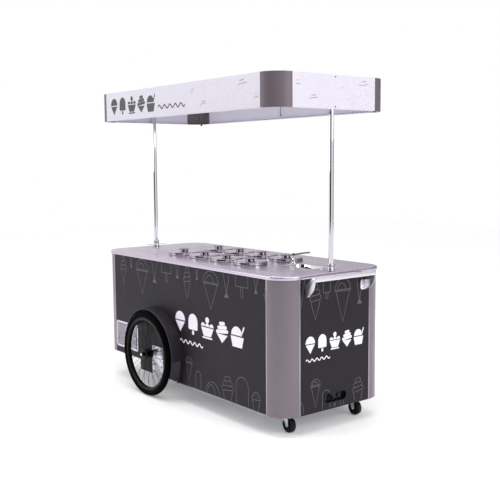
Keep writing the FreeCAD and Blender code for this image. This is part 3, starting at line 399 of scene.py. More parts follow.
def soft_path(points, radius, steps=8):
    """A polyline whose corners are rounded to a radius."""
    points = [Vector(p) for p in points]
    path = [points[0]]
    for before, corner, after in zip(points, points[1:], points[2:]):
        first, second = (before - corner).normalized(), (after - corner).normalized()
        half = first.angle(second) / 2
        back = radius / math.tan(half)
        hub = corner + (first + second).normalized() * (radius / math.sin(half))
        start, stop = corner + first * back - hub, corner + second * back - hub
        path += [hub + start.slerp(stop, i / steps) for i in range(steps + 1)]
    return path + [points[-1]]


def sweep(bm, path, radius, sides=16, mat=0, section=None, closed=False):
    """Sweeps a round rod, or a given section, along a path without twisting it."""
    path = [Vector(p) for p in path]
    count = len(path)
    if section is None:
        turns = [2 * math.pi * i / sides for i in range(sides)]
        section = [(radius * math.cos(t), radius * math.sin(t)) for t in turns]
    ways = [(path[(i + 1) % count if closed else min(i + 1, count - 1)]
             - path[i - 1 if closed else max(i - 1, 0)]).normalized() for i in range(count)]
    side = ways[0].orthogonal().normalized()
    rings = []
    for point, way in zip(path, ways):
        side = (side - way * side.dot(way)).normalized()
        other = way.cross(side)
        rings.append([bm.verts.new(point + side * u + other * v) for u, v in section])
    pairs = list(zip(rings, rings[1:])) + ([(rings[-1], rings[0])] if closed else [])
    for low, high in pairs:
        for i in range(len(section)):
            j = (i + 1) % len(section)
            bm.faces.new((low[i], low[j], high[j], high[i])).material_index = mat
    if not closed:
        bm.faces.new(rings[0][::-1]).material_index = mat
        bm.faces.new(rings[-1]).material_index = mat


# %% [markdown]
# A finished piece gets its bevels, its shading, its materials and the body that it rides on, and
# the design nodes that it stands for are hidden. The mesh is moved into place, so the object stays at the
# origin.

# %% Finishing a piece


def baked(obj):
    """The object's mesh with its modifiers applied, as plain data."""
    graph = bpy.context.evaluated_depsgraph_get()
    return bpy.data.meshes.new_from_object(obj.evaluated_get(graph))


def mesh_object(name, bm):
    bmesh.ops.remove_doubles(bm, verts=bm.verts, dist=1e-4)
    bmesh.ops.recalc_face_normals(bm, faces=bm.faces)
    mesh = bpy.data.meshes.new(name)
    bm.to_mesh(mesh)
    bm.free()
    obj = bpy.data.objects.new(name, mesh)
    bpy.context.scene.collection.objects.link(obj)
    return obj


def bevelled(obj, width, segments=3, limit=35):
    rounding = obj.modifiers.new("soft edges", "BEVEL")
    rounding.width = width
    rounding.segments = segments
    rounding.angle_limit = math.radians(limit)
    rounding.harden_normals = False
    flat = baked(obj)
    obj.modifiers.clear()
    old = obj.data
    obj.data = flat
    bpy.data.meshes.remove(old)
    return obj


def carved(obj, cutters):
    """Cuts each mesh in cutters out of obj."""
    for cutter in cutters:
        cut = obj.modifiers.new("cut", "BOOLEAN")
        cut.operation = "DIFFERENCE"
        cut.solver = "EXACT"
        cut.object = cutter
    flat = baked(obj)
    obj.modifiers.clear()
    obj.data = flat
    for cutter in cutters:
        bpy.data.objects.remove(cutter)
    return obj


def finish(obj, materials, body, nodes=(), sharp=32):
    mesh = obj.data
    mesh.materials.clear()
    for made in materials:
        mesh.materials.append(made)
    mesh.transform(Matrix.Translation((MIDDLE_X, 0, 0)) @ Matrix.Scale(MM, 4))
    mesh.shade_smooth()
    mesh.set_sharp_from_angle(angle=math.radians(sharp))
    mesh.update()
    if nodes:
        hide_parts(*nodes)
    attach(obj, body)
    return obj


def repaint(node, made):
    """Gives a design node that keeps its own shape a better finish."""
    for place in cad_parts[node].material_slots:
        place.material = made


# %% [markdown]
# ## Geometry Nodes for what repeats
# Screws, tread blocks, louvres and spokes are one shape many times. One tree copies an item onto
# points and turns it to face a direction; another spaces an item round a ring; a third laces
# spokes by rule. Each result is baked to a plain mesh, because copies are dropped on export.

# %% Tree helpers


def new_tree(name, inputs):
    tree = bpy.data.node_groups.new(name, "GeometryNodeTree")
    for label, kind, value in inputs:
        socket = tree.interface.new_socket(name=label, in_out="INPUT", socket_type=kind)
        if value is not None:
            socket.default_value = value
    tree.interface.new_socket(name="Geometry", in_out="OUTPUT", socket_type="NodeSocketGeometry")
    return tree, tree.nodes.new("NodeGroupInput").outputs


def close_tree(tree, instances, inputs):
    real = add(tree, "GeometryNodeRealizeInstances", {"Geometry": instances}).outputs["Geometry"]
    coloured = add(tree, "GeometryNodeSetMaterial", {"Geometry": real, "Material": inputs["Material"]})
    tree.links.new(coloured.outputs["Geometry"], tree.nodes.new("NodeGroupOutput").inputs[0])
    return tree


def math_node(tree, operation, first, second=0.0):
    return add(tree, "ShaderNodeMath", {0: first, 1: second}, operation=operation).outputs[0]


def grown(tree, name, values, points=None):
    """Runs a tree on an object of points, and returns the baked result as an object."""
    mesh = bpy.data.meshes.new(name)
    mesh.from_pydata([tuple(p) for p in points or [(0, 0, 0)]], [], [])
    obj = bpy.data.objects.new(name, mesh)
    bpy.context.scene.collection.objects.link(obj)
    grow = obj.modifiers.new(name, "NODES")
    grow.node_group = tree
    for item in tree.interface.items_tree:
        if item.in_out == "INPUT" and item.name in values:
            grow[item.identifier] = values[item.name]
    flat = baked(obj)
    obj.modifiers.clear()
    obj.data = flat
    bpy.data.meshes.remove(mesh)
    return obj


# %% A tree that sets an item on points


def scatter_tree():
    tree, given = new_tree("items on points", [
        ("Geometry", "NodeSocketGeometry", None), ("Item", "NodeSocketObject", None),
        ("Direction", "NodeSocketVector", (0, 0, 1)), ("Material", "NodeSocketMaterial", None)])
    item = add(tree, "GeometryNodeObjectInfo", {"Object": given["Item"]}).outputs["Geometry"]
    turn = add(tree, "FunctionNodeAlignRotationToVector", {"Vector": given["Direction"]}, axis="Z")
    copies = add(tree, "GeometryNodeInstanceOnPoints", {
        "Points": given["Geometry"], "Instance": item, "Rotation": turn.outputs["Rotation"]})
    return close_tree(tree, copies.outputs["Instances"], given)


SCATTER = scatter_tree()

# %% A tree that spaces an item round a ring


def ring_tree():
    tree, given = new_tree("items round a ring", [
        ("Item", "NodeSocketObject", None), ("Count", "NodeSocketInt", 12),
        ("Radius", "NodeSocketFloat", 100.0), ("Offset", "NodeSocketFloat", 0.0),
        ("Phase", "NodeSocketFloat", 0.0), ("Material", "NodeSocketMaterial", None)])
    item = add(tree, "GeometryNodeObjectInfo", {"Object": given["Item"]}).outputs["Geometry"]
    row = add(tree, "GeometryNodeMeshLine", {"Count": given["Count"], "Offset": (0, 0, 0)}).outputs["Mesh"]
    index = add(tree, "GeometryNodeInputIndex").outputs["Index"]
    step = math_node(tree, "DIVIDE", 2 * math.pi, given["Count"])
    turn = math_node(tree, "MULTIPLY", math_node(tree, "ADD", index, given["Phase"]), step)
    place = add(tree, "ShaderNodeCombineXYZ", {
        "X": math_node(tree, "MULTIPLY", math_node(tree, "COSINE", turn), given["Radius"]),
        "Y": given["Offset"],
        "Z": math_node(tree, "MULTIPLY", math_node(tree, "SINE", turn), given["Radius"])}).outputs[0]
    moved = add(tree, "GeometryNodeSetPosition", {"Geometry": row, "Position": place}).outputs[0]
    back = math_node(tree, "MULTIPLY", turn, -1.0)
    angles = add(tree, "ShaderNodeCombineXYZ", {"Y": back}).outputs[0]
    spin = add(tree, "FunctionNodeEulerToRotation", {"Euler": angles}).outputs[0]
    copies = add(tree, "GeometryNodeInstanceOnPoints",
                 {"Points": moved, "Instance": item, "Rotation": spin})
    return close_tree(tree, copies.outputs["Instances"], given)


RING = ring_tree()

# %% [markdown]
# A wheel is laced: odd spokes start on one hub flange and even ones on the other, and in each
# flange every second spoke leans forwards and the next one back, so they cross.

# %% A tree that laces spokes


def spoke_tree():
    tree, given = new_tree("laced spokes", [
        ("Count", "NodeSocketInt", 36), ("Hub circle", "NodeSocketFloat", 36.0),
        ("Rim circle", "NodeSocketFloat", 241.0), ("Flange offset", "NodeSocketFloat", 26.0),
        ("Rim offset", "NodeSocketFloat", 3.0), ("Lean", "NodeSocketFloat", 0.52),
        ("Wire radius", "NodeSocketFloat", 1.2), ("Material", "NodeSocketMaterial", None)])
    index = add(tree, "GeometryNodeInputIndex").outputs["Index"]

    def sign_of(value):
        odd = math_node(tree, "MODULO", value, 2.0)
        return math_node(tree, "SUBTRACT", math_node(tree, "MULTIPLY", odd, 2.0), 1.0)

    side = sign_of(index)
    lean = sign_of(math_node(tree, "FLOOR", math_node(tree, "DIVIDE", index, 2.0)))
    step = math_node(tree, "DIVIDE", 2 * math.pi, given["Count"])
    turn = math_node(tree, "MULTIPLY", index, step)
    foot_turn = math_node(tree, "ADD", turn, math_node(tree, "MULTIPLY", lean, given["Lean"]))

    def polar(radius, angle, offset):
        return add(tree, "ShaderNodeCombineXYZ", {
            "X": math_node(tree, "MULTIPLY", radius, math_node(tree, "COSINE", angle)),
            "Y": math_node(tree, "MULTIPLY", side, offset),
            "Z": math_node(tree, "MULTIPLY", radius, math_node(tree, "SINE", angle))}).outputs[0]

    foot = polar(given["Hub circle"], foot_turn, given["Flange offset"])
    head = polar(given["Rim circle"], turn, given["Rim offset"])
    along = add(tree, "ShaderNodeVectorMath", {0: head, 1: foot}, operation="SUBTRACT").outputs[0]
    total = add(tree, "ShaderNodeVectorMath", {0: head, 1: foot}, operation="ADD").outputs[0]
    middle = add(tree, "ShaderNodeVectorMath", {0: total, "Scale": 0.5}, operation="SCALE").outputs[0]
    length = add(tree, "ShaderNodeVectorMath", {0: along}, operation="LENGTH").outputs["Value"]
    row = add(tree, "GeometryNodeMeshLine", {"Count": given["Count"], "Offset": (0, 0, 0)}).outputs["Mesh"]
    moved = add(tree, "GeometryNodeSetPosition", {"Geometry": row, "Position": middle}).outputs[0]
    rod = {"Vertices": 8, "Radius": given["Wire radius"], "Depth": 1.0}
    wire = add(tree, "GeometryNodeMeshCylinder", rod)
    turned = add(tree, "FunctionNodeAlignRotationToVector", {"Vector": along}, axis="Z").outputs[0]
    size = add(tree, "ShaderNodeCombineXYZ", {"X": 1.0, "Y": 1.0, "Z": length}).outputs[0]
    copies = add(tree, "GeometryNodeInstanceOnPoints", {
        "Points": moved, "Instance": wire.outputs["Mesh"], "Rotation": turned, "Scale": size})
    return close_tree(tree, copies.outputs["Instances"], given)


SPOKES = spoke_tree()
print("trees:", [t.name for t in bpy.data.node_groups])

# %% [markdown]
# ## Cabinet skin
# Four flat film-covered panels stand between four rounded powder-coated posts. The flat panels
# keep their design shape, and only take a finish. The posts are rolled sheet, so they need many
# more facets than the design's mesh has, or their soft highlight would break up.

# %% Sizes read from the design
HALF_L = cad("right_end_panel")[1].x
HALF_W = cad("back_panel")[1].y
FLAT_X = cad("front_panel")[1].x
RADIUS = HALF_L - FLAT_X
FLAT_Y = HALF_W - RADIUS
UNDER, TOP = cad("countertop")[0].z, cad("countertop")[1].z
LOW = {"left": cad("left_end_panel")[0].z, "right": cad("right_end_panel")[0].z}
QUARTER = {(1, 1): 0, (-1, 1): 90, (-1, -1): 180, (1, -1): 270}
SHEET = 2.0
STEP_X = -560
print("cabinet half length, half width, corner:", HALF_L, HALF_W, RADIUS)

# %% Panels and inner parts that keep the design's shape
for node in ("front_panel", "back_panel", "left_end_panel", "right_end_panel", "service_door"):
    repaint(node, charcoal_film)
# The canopy's frame and roof take the brightened white sheet, painted light for their shaded underside.
KEPT = {"chassis_frame": black_coat, "base_plate": zinc_plate, "tubs": polished_steel,
        "cold_tank": brushed_steel, "canopy_frame": white_sheet_lit_underside, "canopy_roof": white_sheet_lit_underside,
        "condenser": fin_stripes_painted_gaps, "compressor": black_coat, "water_tanks": bottle_plastic,
        "door_hinges": polished_steel, "door_latch": black_plastic, "fan_rotor": black_plastic}
for node, made in KEPT.items():
    repaint(node, made)

# %% Rounded posts
bm = bmesh.new()
for (sx, sy), start in QUARTER.items():
    low = LOW["right" if sx > 0 else "left"]
    outer = arc(sx * FLAT_X, sy * FLAT_Y, RADIUS, start, start + 90, 40)
    inner = arc(sx * FLAT_X, sy * FLAT_Y, RADIUS - SHEET, start + 90, start, 40)
    prism(bm, outer + inner, low, UNDER)
finish(mesh_object("rounded_posts", bm), [taupe_coat], "cart", ["corner_posts"])

# %% [markdown]
# Each seam between a panel and a post is covered by a thin extruded strip, held by small blind
# rivets. Another strip closes the panel's lower edge, where dirt would lift the film.

# %% Seam strips


def block(bm, low, high, mat=0):
    """A box between two corners."""
    outline = [(low[0], low[1]), (high[0], low[1]), (high[0], high[1]), (low[0], high[1])]
    prism(bm, outline, low[2], high[2], mat=mat)


def span(a, b):
    return (a, b) if a < b else (b, a)


STRIP = 9
STRIP_RISE = 1.2
SILL = 5
SILL_START = -200
bm = bmesh.new()
for sx, sy in QUARTER:
    low = LOW["right" if sx > 0 else "left"]
    x = span(sx * FLAT_X, sx * (FLAT_X - STRIP))
    y = span(sy * HALF_W, sy * (HALF_W + STRIP_RISE))
    block(bm, (x[0], y[0], low), (x[1], y[1], UNDER))
    x = span(sx * HALF_L, sx * (HALF_L + STRIP_RISE))
    y = span(sy * FLAT_Y, sy * (FLAT_Y - STRIP))
    block(bm, (x[0], y[0], low), (x[1], y[1], UNDER))
for sy in SIDES.values():
    y = span(sy * HALF_W, sy * (HALF_W + 1.0))
    block(bm, (-FLAT_X + STRIP, y[0], LOW["left"]), (STEP_X, y[1], LOW["left"] + SILL))
    block(bm, (SILL_START, y[0], LOW["right"]), (FLAT_X - STRIP, y[1], LOW["right"] + SILL))
strips = bevelled(mesh_object("seam_strips", bm), 0.4, 2)
finish(strips, [edge_strip], "cart", ["corner_trims"])

# %% [markdown]
# A blind rivet is a low dome. One dome is copied by the tree onto points every 110 mm.

# %% Rivets on the strips


def item_object(name, build):
    """A small mesh for a tree to copy. It is removed once the copies are baked."""
    bm = bmesh.new()
    build(bm)
    return mesh_object(name, bm)


def scattered(name, item, points, direction, made):
    return grown(SCATTER, name, {"Item": item, "Direction": direction, "Material": made}, points)


def joined(name, objects):
    """Joins baked meshes into one object."""
    bm = bmesh.new()
    for obj in objects:
        bm.from_mesh(obj.data)
        bpy.data.objects.remove(obj)
    mesh = bpy.data.meshes.new(name)
    bm.to_mesh(mesh)
    bm.free()
    made = bpy.data.objects.new(name, mesh)
    bpy.context.scene.collection.objects.link(made)
    return made


def dome(radius, height, steps=12):
    profile = [(0, 0), (radius, 0), (radius * 0.96, height * 0.4), (radius * 0.7, height * 0.85),
               (0, height)]
    return lambda bm: lathe(bm, profile, (0, 0, 0), steps=steps, closed=False)


RIVET_PITCH = 110
rivet = item_object("rivet", dome(2.4, 0.9))
sets = []
for sx in ENDS.values():
    low = LOW["right" if sx > 0 else "left"]
    levels = [low + 40 + RIVET_PITCH * k for k in range(7) if low + 40 + RIVET_PITCH * k < UNDER - 20]
    for sy in SIDES.values():
        along = [(sx * (FLAT_X - STRIP / 2), sy * (HALF_W + STRIP_RISE), z) for z in levels]
        sets.append(scattered("rivets", rivet, along, (0, sy, 0), zinc_plate))
        across = [(sx * (HALF_L + STRIP_RISE), sy * (FLAT_Y - STRIP / 2), z) for z in levels]
        sets.append(scattered("rivets", rivet, across, (sx, 0, 0), zinc_plate))
bpy.data.objects.remove(rivet)
rivets = finish(joined("seam_rivets", sets), [zinc_plate], "cart")
print("rivet faces:", len(rivets.data.polygons))

# %% [markdown]
# ## Countertop
# Folded from one sheet of stainless steel, with a rolled front edge so that no sharp metal meets
# the server's hand. The outline grows and shrinks by an offset, so one profile describes the
# whole edge, and the holes are cut last.

# %% Rounded-rectangle solids


def loop_solid(bm, size, radius, profile, centre=(0, 0), steps=14, mat=0):
    """Stacks rounded rectangles. Each (offset, z) of the profile grows the outline by offset."""
    rings = []
    for offset, z in profile:
        wide, high = size[0] + 2 * offset, size[1] + 2 * offset
        outline = rounded_outline(wide, high, radius + offset, steps, *centre)
        rings.append([bm.verts.new((x, y, z)) for x, y in outline])
    for low, high in zip(rings, rings[1:]):
        for i in range(len(low)):
            j = (i + 1) % len(low)
            bm.faces.new((low[i], low[j], high[j], high[i])).material_index = mat
    bm.faces.new(rings[0]).material_index = mat
    bm.faces.new(rings[-1]).material_index = mat


def cylinder(name, x, y, radius, low, high, steps=96):
    bm = bmesh.new()
    lathe(bm, [(0, low), (radius, low), (radius, high), (0, high)], (x, y, 0), steps=steps, closed=False)
    return mesh_object(name, bm)


# %% Countertop with its holes
counter = [cad("countertop")[1].x * 2, cad("countertop")[1].y * 2]
counter_corner = RADIUS + counter[0] / 2 - HALF_L
lid_names = ["lid_%s_%d" % (side, k) for side in SIDES for k in (1, 2, 3, 4)]
middle = {name: (sum(cad(name), Vector()) / 2) for name in lid_names}
basin = cad("dipper_basin")
basin_middle = (basin[0] + basin[1]) / 2
basin_size = [basin[1].x - basin[0].x - 16, basin[1].y - basin[0].y - 16]
pole_xs = [side * (cad("poles")[1].x - 15) for side in (-1, 1)]
tap_lo, tap_hi = cad("tap_body")
TAP = Vector(((tap_lo.x + tap_hi.x) / 2, tap_hi.y - 20, 0))

BULLNOSE = 10
bm = bmesh.new()
edge = [(-12, UNDER), (-1.5, UNDER), (-0.4, UNDER + 0.4), (0, UNDER + 1.5)]
edge += arc(-BULLNOSE, TOP - BULLNOSE, BULLNOSE, 0, 90, 8)
loop_solid(bm, counter, counter_corner, edge + [(-12, TOP)], steps=20)
slab = mesh_object("counter_slab", bm)
cutters = [cylinder("hole", m.x, m.y, 106, UNDER - 1, TOP + 1) for m in middle.values()]
cutters += [cylinder("hole", x, 0, 17.6, UNDER - 1, TOP + 1) for x in pole_xs]
cutters.append(cylinder("hole", TAP.x, TAP.y, 9.6, UNDER - 1, TOP + 1))
bm = bmesh.new()
loop_solid(bm, basin_size, 45, [(2.1, UNDER - 1), (2.1, TOP + 1)], (basin_middle.x, basin_middle.y))
cutters.append(mesh_object("hole", bm))
slab = bevelled(carved(slab, cutters), 0.7, 2)
finish(slab, [brushed_steel], "cart", ["countertop"])
print("countertop:", [round(v, 1) for v in counter], "tap at", TAP)

# %% [markdown]
# ## Lids
# Each lid is spun from one disc: a plug that keeps the cold in, a low wall with a rolled foot,
# and a flared knob with a dished top. A spun part is a turned profile, so it is lathed.

# %% Eight lids
LID_HEIGHT = 20
PLUG_DEPTH = 13.7
for name, m in middle.items():
    foot, wall = TOP - PLUG_DEPTH, TOP + 0.3
    high = wall + LID_HEIGHT
    profile = [
        (0, high - 4), (92, high - 4), (92, foot + 1), (92.8, foot), (94.2, foot), (95, foot + 1),
        (95, high - 4), (111, high - 4), (112.4, high - 5.2), (112.4, wall + 1.4), (113, wall + 0.3),
        (114.2, wall), (115, wall + 0.8), (115, wall + 3.4), (114.4, wall + 4.6), (113.4, wall + 5.4),
        (113.2, wall + 7),
        (113.2, high - 4.4), (112.8, high - 2.6), (111.6, high - 1.1), (109.8, high - 0.2), (108, high),
        (101, high), (99.6, high - 0.5), (98.4, high - 1.3), (97, high - 1.5), (95.4, high - 1.3),
        (94, high - 0.6), (92, high - 0.3), (60, high), (33, high + 0.2), (30, high + 0.9),
        (28, high + 2.6), (27, high + 5.2), (28, high + 8), (32, high + 11), (38, high + 13.6),
        (42.8, high + 15.3), (45.2, high + 16.3), (46, high + 17.1), (45.3, high + 17.8),
        (43.6, high + 18), (40, high + 16.4),
        (36, high + 12.8), (30, high + 10.2), (16, high + 9.2), (0, high + 9)]
    bm = bmesh.new()
    lathe(bm, profile, (m.x, m.y, 0), steps=96, closed=False)
    finish(mesh_object("spun_" + name, bm), [spun_steel], name, [name], sharp=50)

# %% [markdown]
# ## Dipper well and tap
# The well is a pressed basin with a rolled lip, for rinsing scoops. The spout is one bent tube,
# which swings over it. Drawn corners are generous because sheet tears if it is pressed sharp.

# %% Basin
bm = bmesh.new()
lip_high = basin[1].z
floor_z = TOP - 120
inside = arc(-18, floor_z + 18, 18, 270, 360, 8)
outside = arc(-16.5, floor_z + 16.5, 18, 360, 270, 8)
lip = [(0, TOP), (0.6, lip_high - 0.3), (1.8, lip_high), (6.4, lip_high), (7.6, lip_high - 0.4),
       (8, TOP + 0.6), (7.6, TOP), (1.5, TOP)]
loop_solid(bm, basin_size, 45, inside + lip + outside, (basin_middle.x, basin_middle.y))
centre = (basin_middle.x, basin_middle.y, floor_z)
lathe(bm, [(12, 0.2), (12, 1.6), (17, 1.6), (20, 0.2)], centre, steps=32)
lathe(bm, [(12, -40), (12, 0.4), (16, 0.4), (16, -40)], centre, steps=32)
for k in range(-2, 3):
    block(bm, (centre[0] + 4.6 * k - 0.8, centre[1] - 11.5, floor_z + 0.2),
          (centre[0] + 4.6 * k + 0.8, centre[1] + 11.5, floor_z + 1.2))
finish(mesh_object("pressed_well", bm), [polished_steel], "cart", ["dipper_basin"], sharp=40)

# %% Tap body
bm = bmesh.new()
column = [(0, -64), (9, -64), (9, -36), (17, -36), (18, -35), (18, -25), (17, -24), (9, -24), (9, 0),
          (19, 0), (20, 0.8), (19.6, 2.4), (17, 3.8), (13, 5), (11.4, 8), (11, 12), (11, 48), (10.4, 50.6),
          (8.8, 52), (5, 52), (5, 63.4), (4.4, 64), (0, 64)]
lathe(bm, column, TAP + Vector((0, 0, TOP)), steps=40, closed=False)
valve = [(0, -4), (8, -4), (8, -16.6), (7.4, -17.6), (6, -18), (0, -18)]
lathe(bm, valve, TAP + Vector((0, 0, TOP + 30)), "Y", 32, closed=False)
finish(mesh_object("tap_column", bm), [chrome_plate], "cart", ["tap_body"], sharp=40)

# %% Tap spout
HEADING = math.radians(-17.0)
KNEE, TIP = (190, 57), (244, 38)
along = Vector((math.cos(HEADING), math.sin(HEADING), 0))
start = TAP + Vector((0, 0, TOP + 58.3))
knee = start + along * KNEE[0] + Vector((0, 0, KNEE[1]))
tip = start + along * TIP[0] + Vector((0, 0, TIP[1]))
path = soft_path([start, knee, tip], 26, 12)
bm = bmesh.new()
sweep(bm, path, 5.5, 24)
end_way = (path[-1] - path[-2]).normalized()
sweep(bm, [tip - end_way * back for back in (14, 12.6, 1.2, 0.2)], 6.3, 24)
collar = [(5.2, 0), (12, 0), (13, 1), (13, 9), (11.6, 12.4), (8.4, 14), (5.2, 14)]
lathe(bm, collar, TAP + Vector((0, 0, TOP + 52.3)), steps=40)
spout = mesh_object("bent_spout", bm)
finish(spout, [satin_nickel], "tap_spout", ["tap_spout"], sharp=40)

# %% Tap lever
hub = TAP + Vector((0, 0, TOP + 30))
lever = hub + Vector((0, -22.3, 0))
GRIP = 6
ball = cad("tap_lever")[1].z - hub.z - 11
bm = bmesh.new()
boss = [(0, -18.3), (7, -18.3), (8, -19.2), (8, -25.2), (7, -26.3), (0, -26.3)]
lathe(bm, boss, hub, "Y", 32, closed=False)
sweep(bm, [lever + Vector((0, 0, share * ball)) for share in (0, 0.4, 0.8)], 3, 16)
grip = [(0, ball - GRIP)] + arc(0, ball, GRIP, -80, 80, 16) + [(0, ball + GRIP)]
lathe(bm, grip, lever, steps=32, mat=1, closed=False)
finish(mesh_object("lever_with_grip", bm), [chrome_plate, black_plastic], "tap_lever",
       ["tap_lever"], sharp=40)

# %% [markdown]
# The well has its own small stop valve on the counter in front of it.

# %% Stop valve
at = Vector((basin_middle.x - 38, basin[0].y - 17, TOP))
bm = bmesh.new()
stem = [(0, 0), (9.4, 0), (10, 0.8), (9.4, 2.4), (6.4, 3.6), (5.2, 6), (5.2, 12), (0, 12)]
cap = [(0, 12), (7, 12), (8.4, 13.2), (8.8, 17), (8, 20.6), (5, 22), (0, 22)]
lathe(bm, stem, at, steps=32, closed=False)
lathe(bm, cap, at, steps=32, mat=1, closed=False)
sweep(bm, [at + Vector((x, 0.32 * x, 16.5)) for x in (-4, -14, -24, -30)], 2.6, 12, mat=1)
finish(mesh_object("stop_valve", bm), [chrome_plate, black_plastic], "cart", sharp=40)

# %% [markdown]
# ## Poles and sockets
# Chromed tubes slide in sockets below the counter. A black collar sits on the counter, a bright
# clamp ring with two thin rods turns above it, and a black cap ring closes the socket.

# %% Sockets
socket_lo, socket_hi = cad("pole_sockets")
cap_z = socket_hi.z
bm = bmesh.new()
for x in pole_xs:
    foot = socket_lo.z if x > 0 else cad("base_plate")[1].z
    sleeve = [(15.4, foot), (17, foot), (17, cap_z - 1), (15.4, cap_z - 1)]
    collar = [(17, TOP), (23.2, TOP), (24, TOP + 0.8), (24, TOP + 6.4), (22.6, TOP + 8.4), (20, TOP + 9),
              (17, TOP + 9)]
    cap = [(15.4, cap_z - 18), (22, cap_z - 18), (23, cap_z - 17), (23, cap_z - 12.5),
           (22.4, cap_z - 12), (22.4, cap_z - 11.2), (23, cap_z - 10.6), (23, cap_z - 3),
           (21, cap_z - 0.6), (18, cap_z), (15.4, cap_z)]
    lathe(bm, sleeve, (x, 0, 0), steps=48)
    lathe(bm, collar, (x, 0, 0), steps=64, mat=1)
    lathe(bm, cap, (x, 0, 0), steps=64, mat=1)
rings = mesh_object("pole_socket_rings", bm)
finish(rings, [zinc_plate, black_plastic], "cart", ["pole_sockets"], sharp=40)

# %% Clamp rings
for (end, sign), x in zip(ENDS.items(), pole_xs):
    node = "clamp_ring_" + end
    lo, hi = cad(node)
    bm = bmesh.new()
    sleeve = [(17.3, lo.z), (19.4, lo.z), (20.2, lo.z + 0.8), (20.2, lo.z + 8), (19.7, lo.z + 8.7),
              (20.2, lo.z + 9.4), (20.2, hi.z - 0.8), (19.4, hi.z), (17.3, hi.z)]
    lathe(bm, sleeve, (x, 0, 0), steps=64)
    rod_z = lo.z + 5
    knob = [(0, hi.y - 6), (2.9, hi.y - 6), (3.4, hi.y - 5), (3.4, hi.y - 1.4), (2.6, hi.y), (0, hi.y)]
    for sy in SIDES.values():
        sweep(bm, [(x, sy * y, rod_z) for y in (18, 40, 70, hi.y - 5)], 2.4, 12, mat=1)
        lathe(bm, [(r, sy * y) for r, y in knob], (x, 0, rod_z), "Y", 16, mat=1, closed=False)
    clamp = mesh_object("clamp_" + end, bm)
    finish(clamp, [chrome_plate, black_coat], node, [node], sharp=40)

# %% Poles
pole_lo, pole_hi = cad("poles")
bm = bmesh.new()
for x in pole_xs:
    tube = [(13, pole_lo.z), (14.4, pole_lo.z), (15, pole_lo.z + 0.6), (15, pole_hi.z - 0.6),
            (14.4, pole_hi.z), (13, pole_hi.z)]
    lathe(bm, tube, (x, 0, 0), steps=64)
finish(mesh_object("chromed_poles", bm), [chrome_plate], "canopy", ["poles"], sharp=40)

# %% [markdown]
# ## Canopy
# Four fascia panels are folded inwards at their lower edge, which stiffens them and hides the
# raw cut. Between them stand four rolled corners with an aluminium liner.

# %% Fascia panels
corner_lo, corner_hi = cad("canopy_corners")
CAN_X, CAN_Y = corner_hi.x, corner_hi.y
CAN_LOW, CAN_TOP = corner_lo.z, corner_hi.z
CAN_R = 133.0
WALL = 3.0
FOLD = 25.0
can_fx, can_fy = CAN_X - CAN_R, CAN_Y - CAN_R


def folded_section(face, sign):
    """Wall and inward fold, drawn in (across, up), with the outer bend rounded."""
    inner = face - WALL
    outline = [(face, CAN_TOP - 0.5), (face - 0.5, CAN_TOP), (inner + 0.5, CAN_TOP), (inner, CAN_TOP - 0.5),
               (inner, CAN_LOW + WALL + 1), (inner - 1, CAN_LOW + WALL), (face - FOLD, CAN_LOW + WALL),
               (face - FOLD, CAN_LOW)]
    outline += arc(face - 3.5, CAN_LOW + 3.5, 3.5, 270, 360, 6)
    return [(sign * u, v) for u, v in outline]


bm = bmesh.new()
for sign in (-1, 1):
    prism(bm, folded_section(CAN_Y, sign), -can_fx + 0.4, can_fx - 0.4, "X")
    prism(bm, folded_section(CAN_X, sign), -can_fy + 0.4, can_fy - 0.4, "Y")
fascia = carved(mesh_object("fascia_panels", bm),
                [cylinder("hole", x, 0, 15.6, CAN_LOW - 1, CAN_LOW + 5, 48) for x in pole_xs])
finish(fascia, [white_coat], "canopy", ["canopy_fascia"])

# %% Rolled corners
bm = bmesh.new()
for (sx, sy), start in QUARTER.items():
    cx, cy = sx * can_fx, sy * can_fy
    shell = (CAN_R, CAN_R - WALL, CAN_LOW, CAN_TOP, 0)
    # The fold and the liner take the brightened white sheet: painted light for these shaded insides.
    ledge = (CAN_R - WALL, CAN_R - FOLD, CAN_LOW, CAN_LOW + WALL, 2)
    liner = (CAN_R - WALL - 0.2, CAN_R - WALL - 2, CAN_LOW + 6, CAN_TOP - 14, 2)
    for outer, inner, low, high, mat in (shell, ledge, liner):
        band = arc(cx, cy, outer, start, start + 90, 36) + arc(cx, cy, inner, start + 90, start, 36)
        prism(bm, band, low, high, mat=mat)
    for k in range(1, 6):
        turn = math.radians(start + 15 * k)
        x, y = cx + (CAN_R - 7) * math.cos(turn), cy + (CAN_R - 7) * math.sin(turn)
        sweep(bm, [(x, y, CAN_LOW + 8), (x, y, CAN_TOP - 16)], 2.4, 10, mat=1)
shells = mesh_object("canopy_corner_shells", bm)
finish(shells, [canopy_taupe, edge_strip, white_sheet_lit_underside], "canopy", ["canopy_corners"])

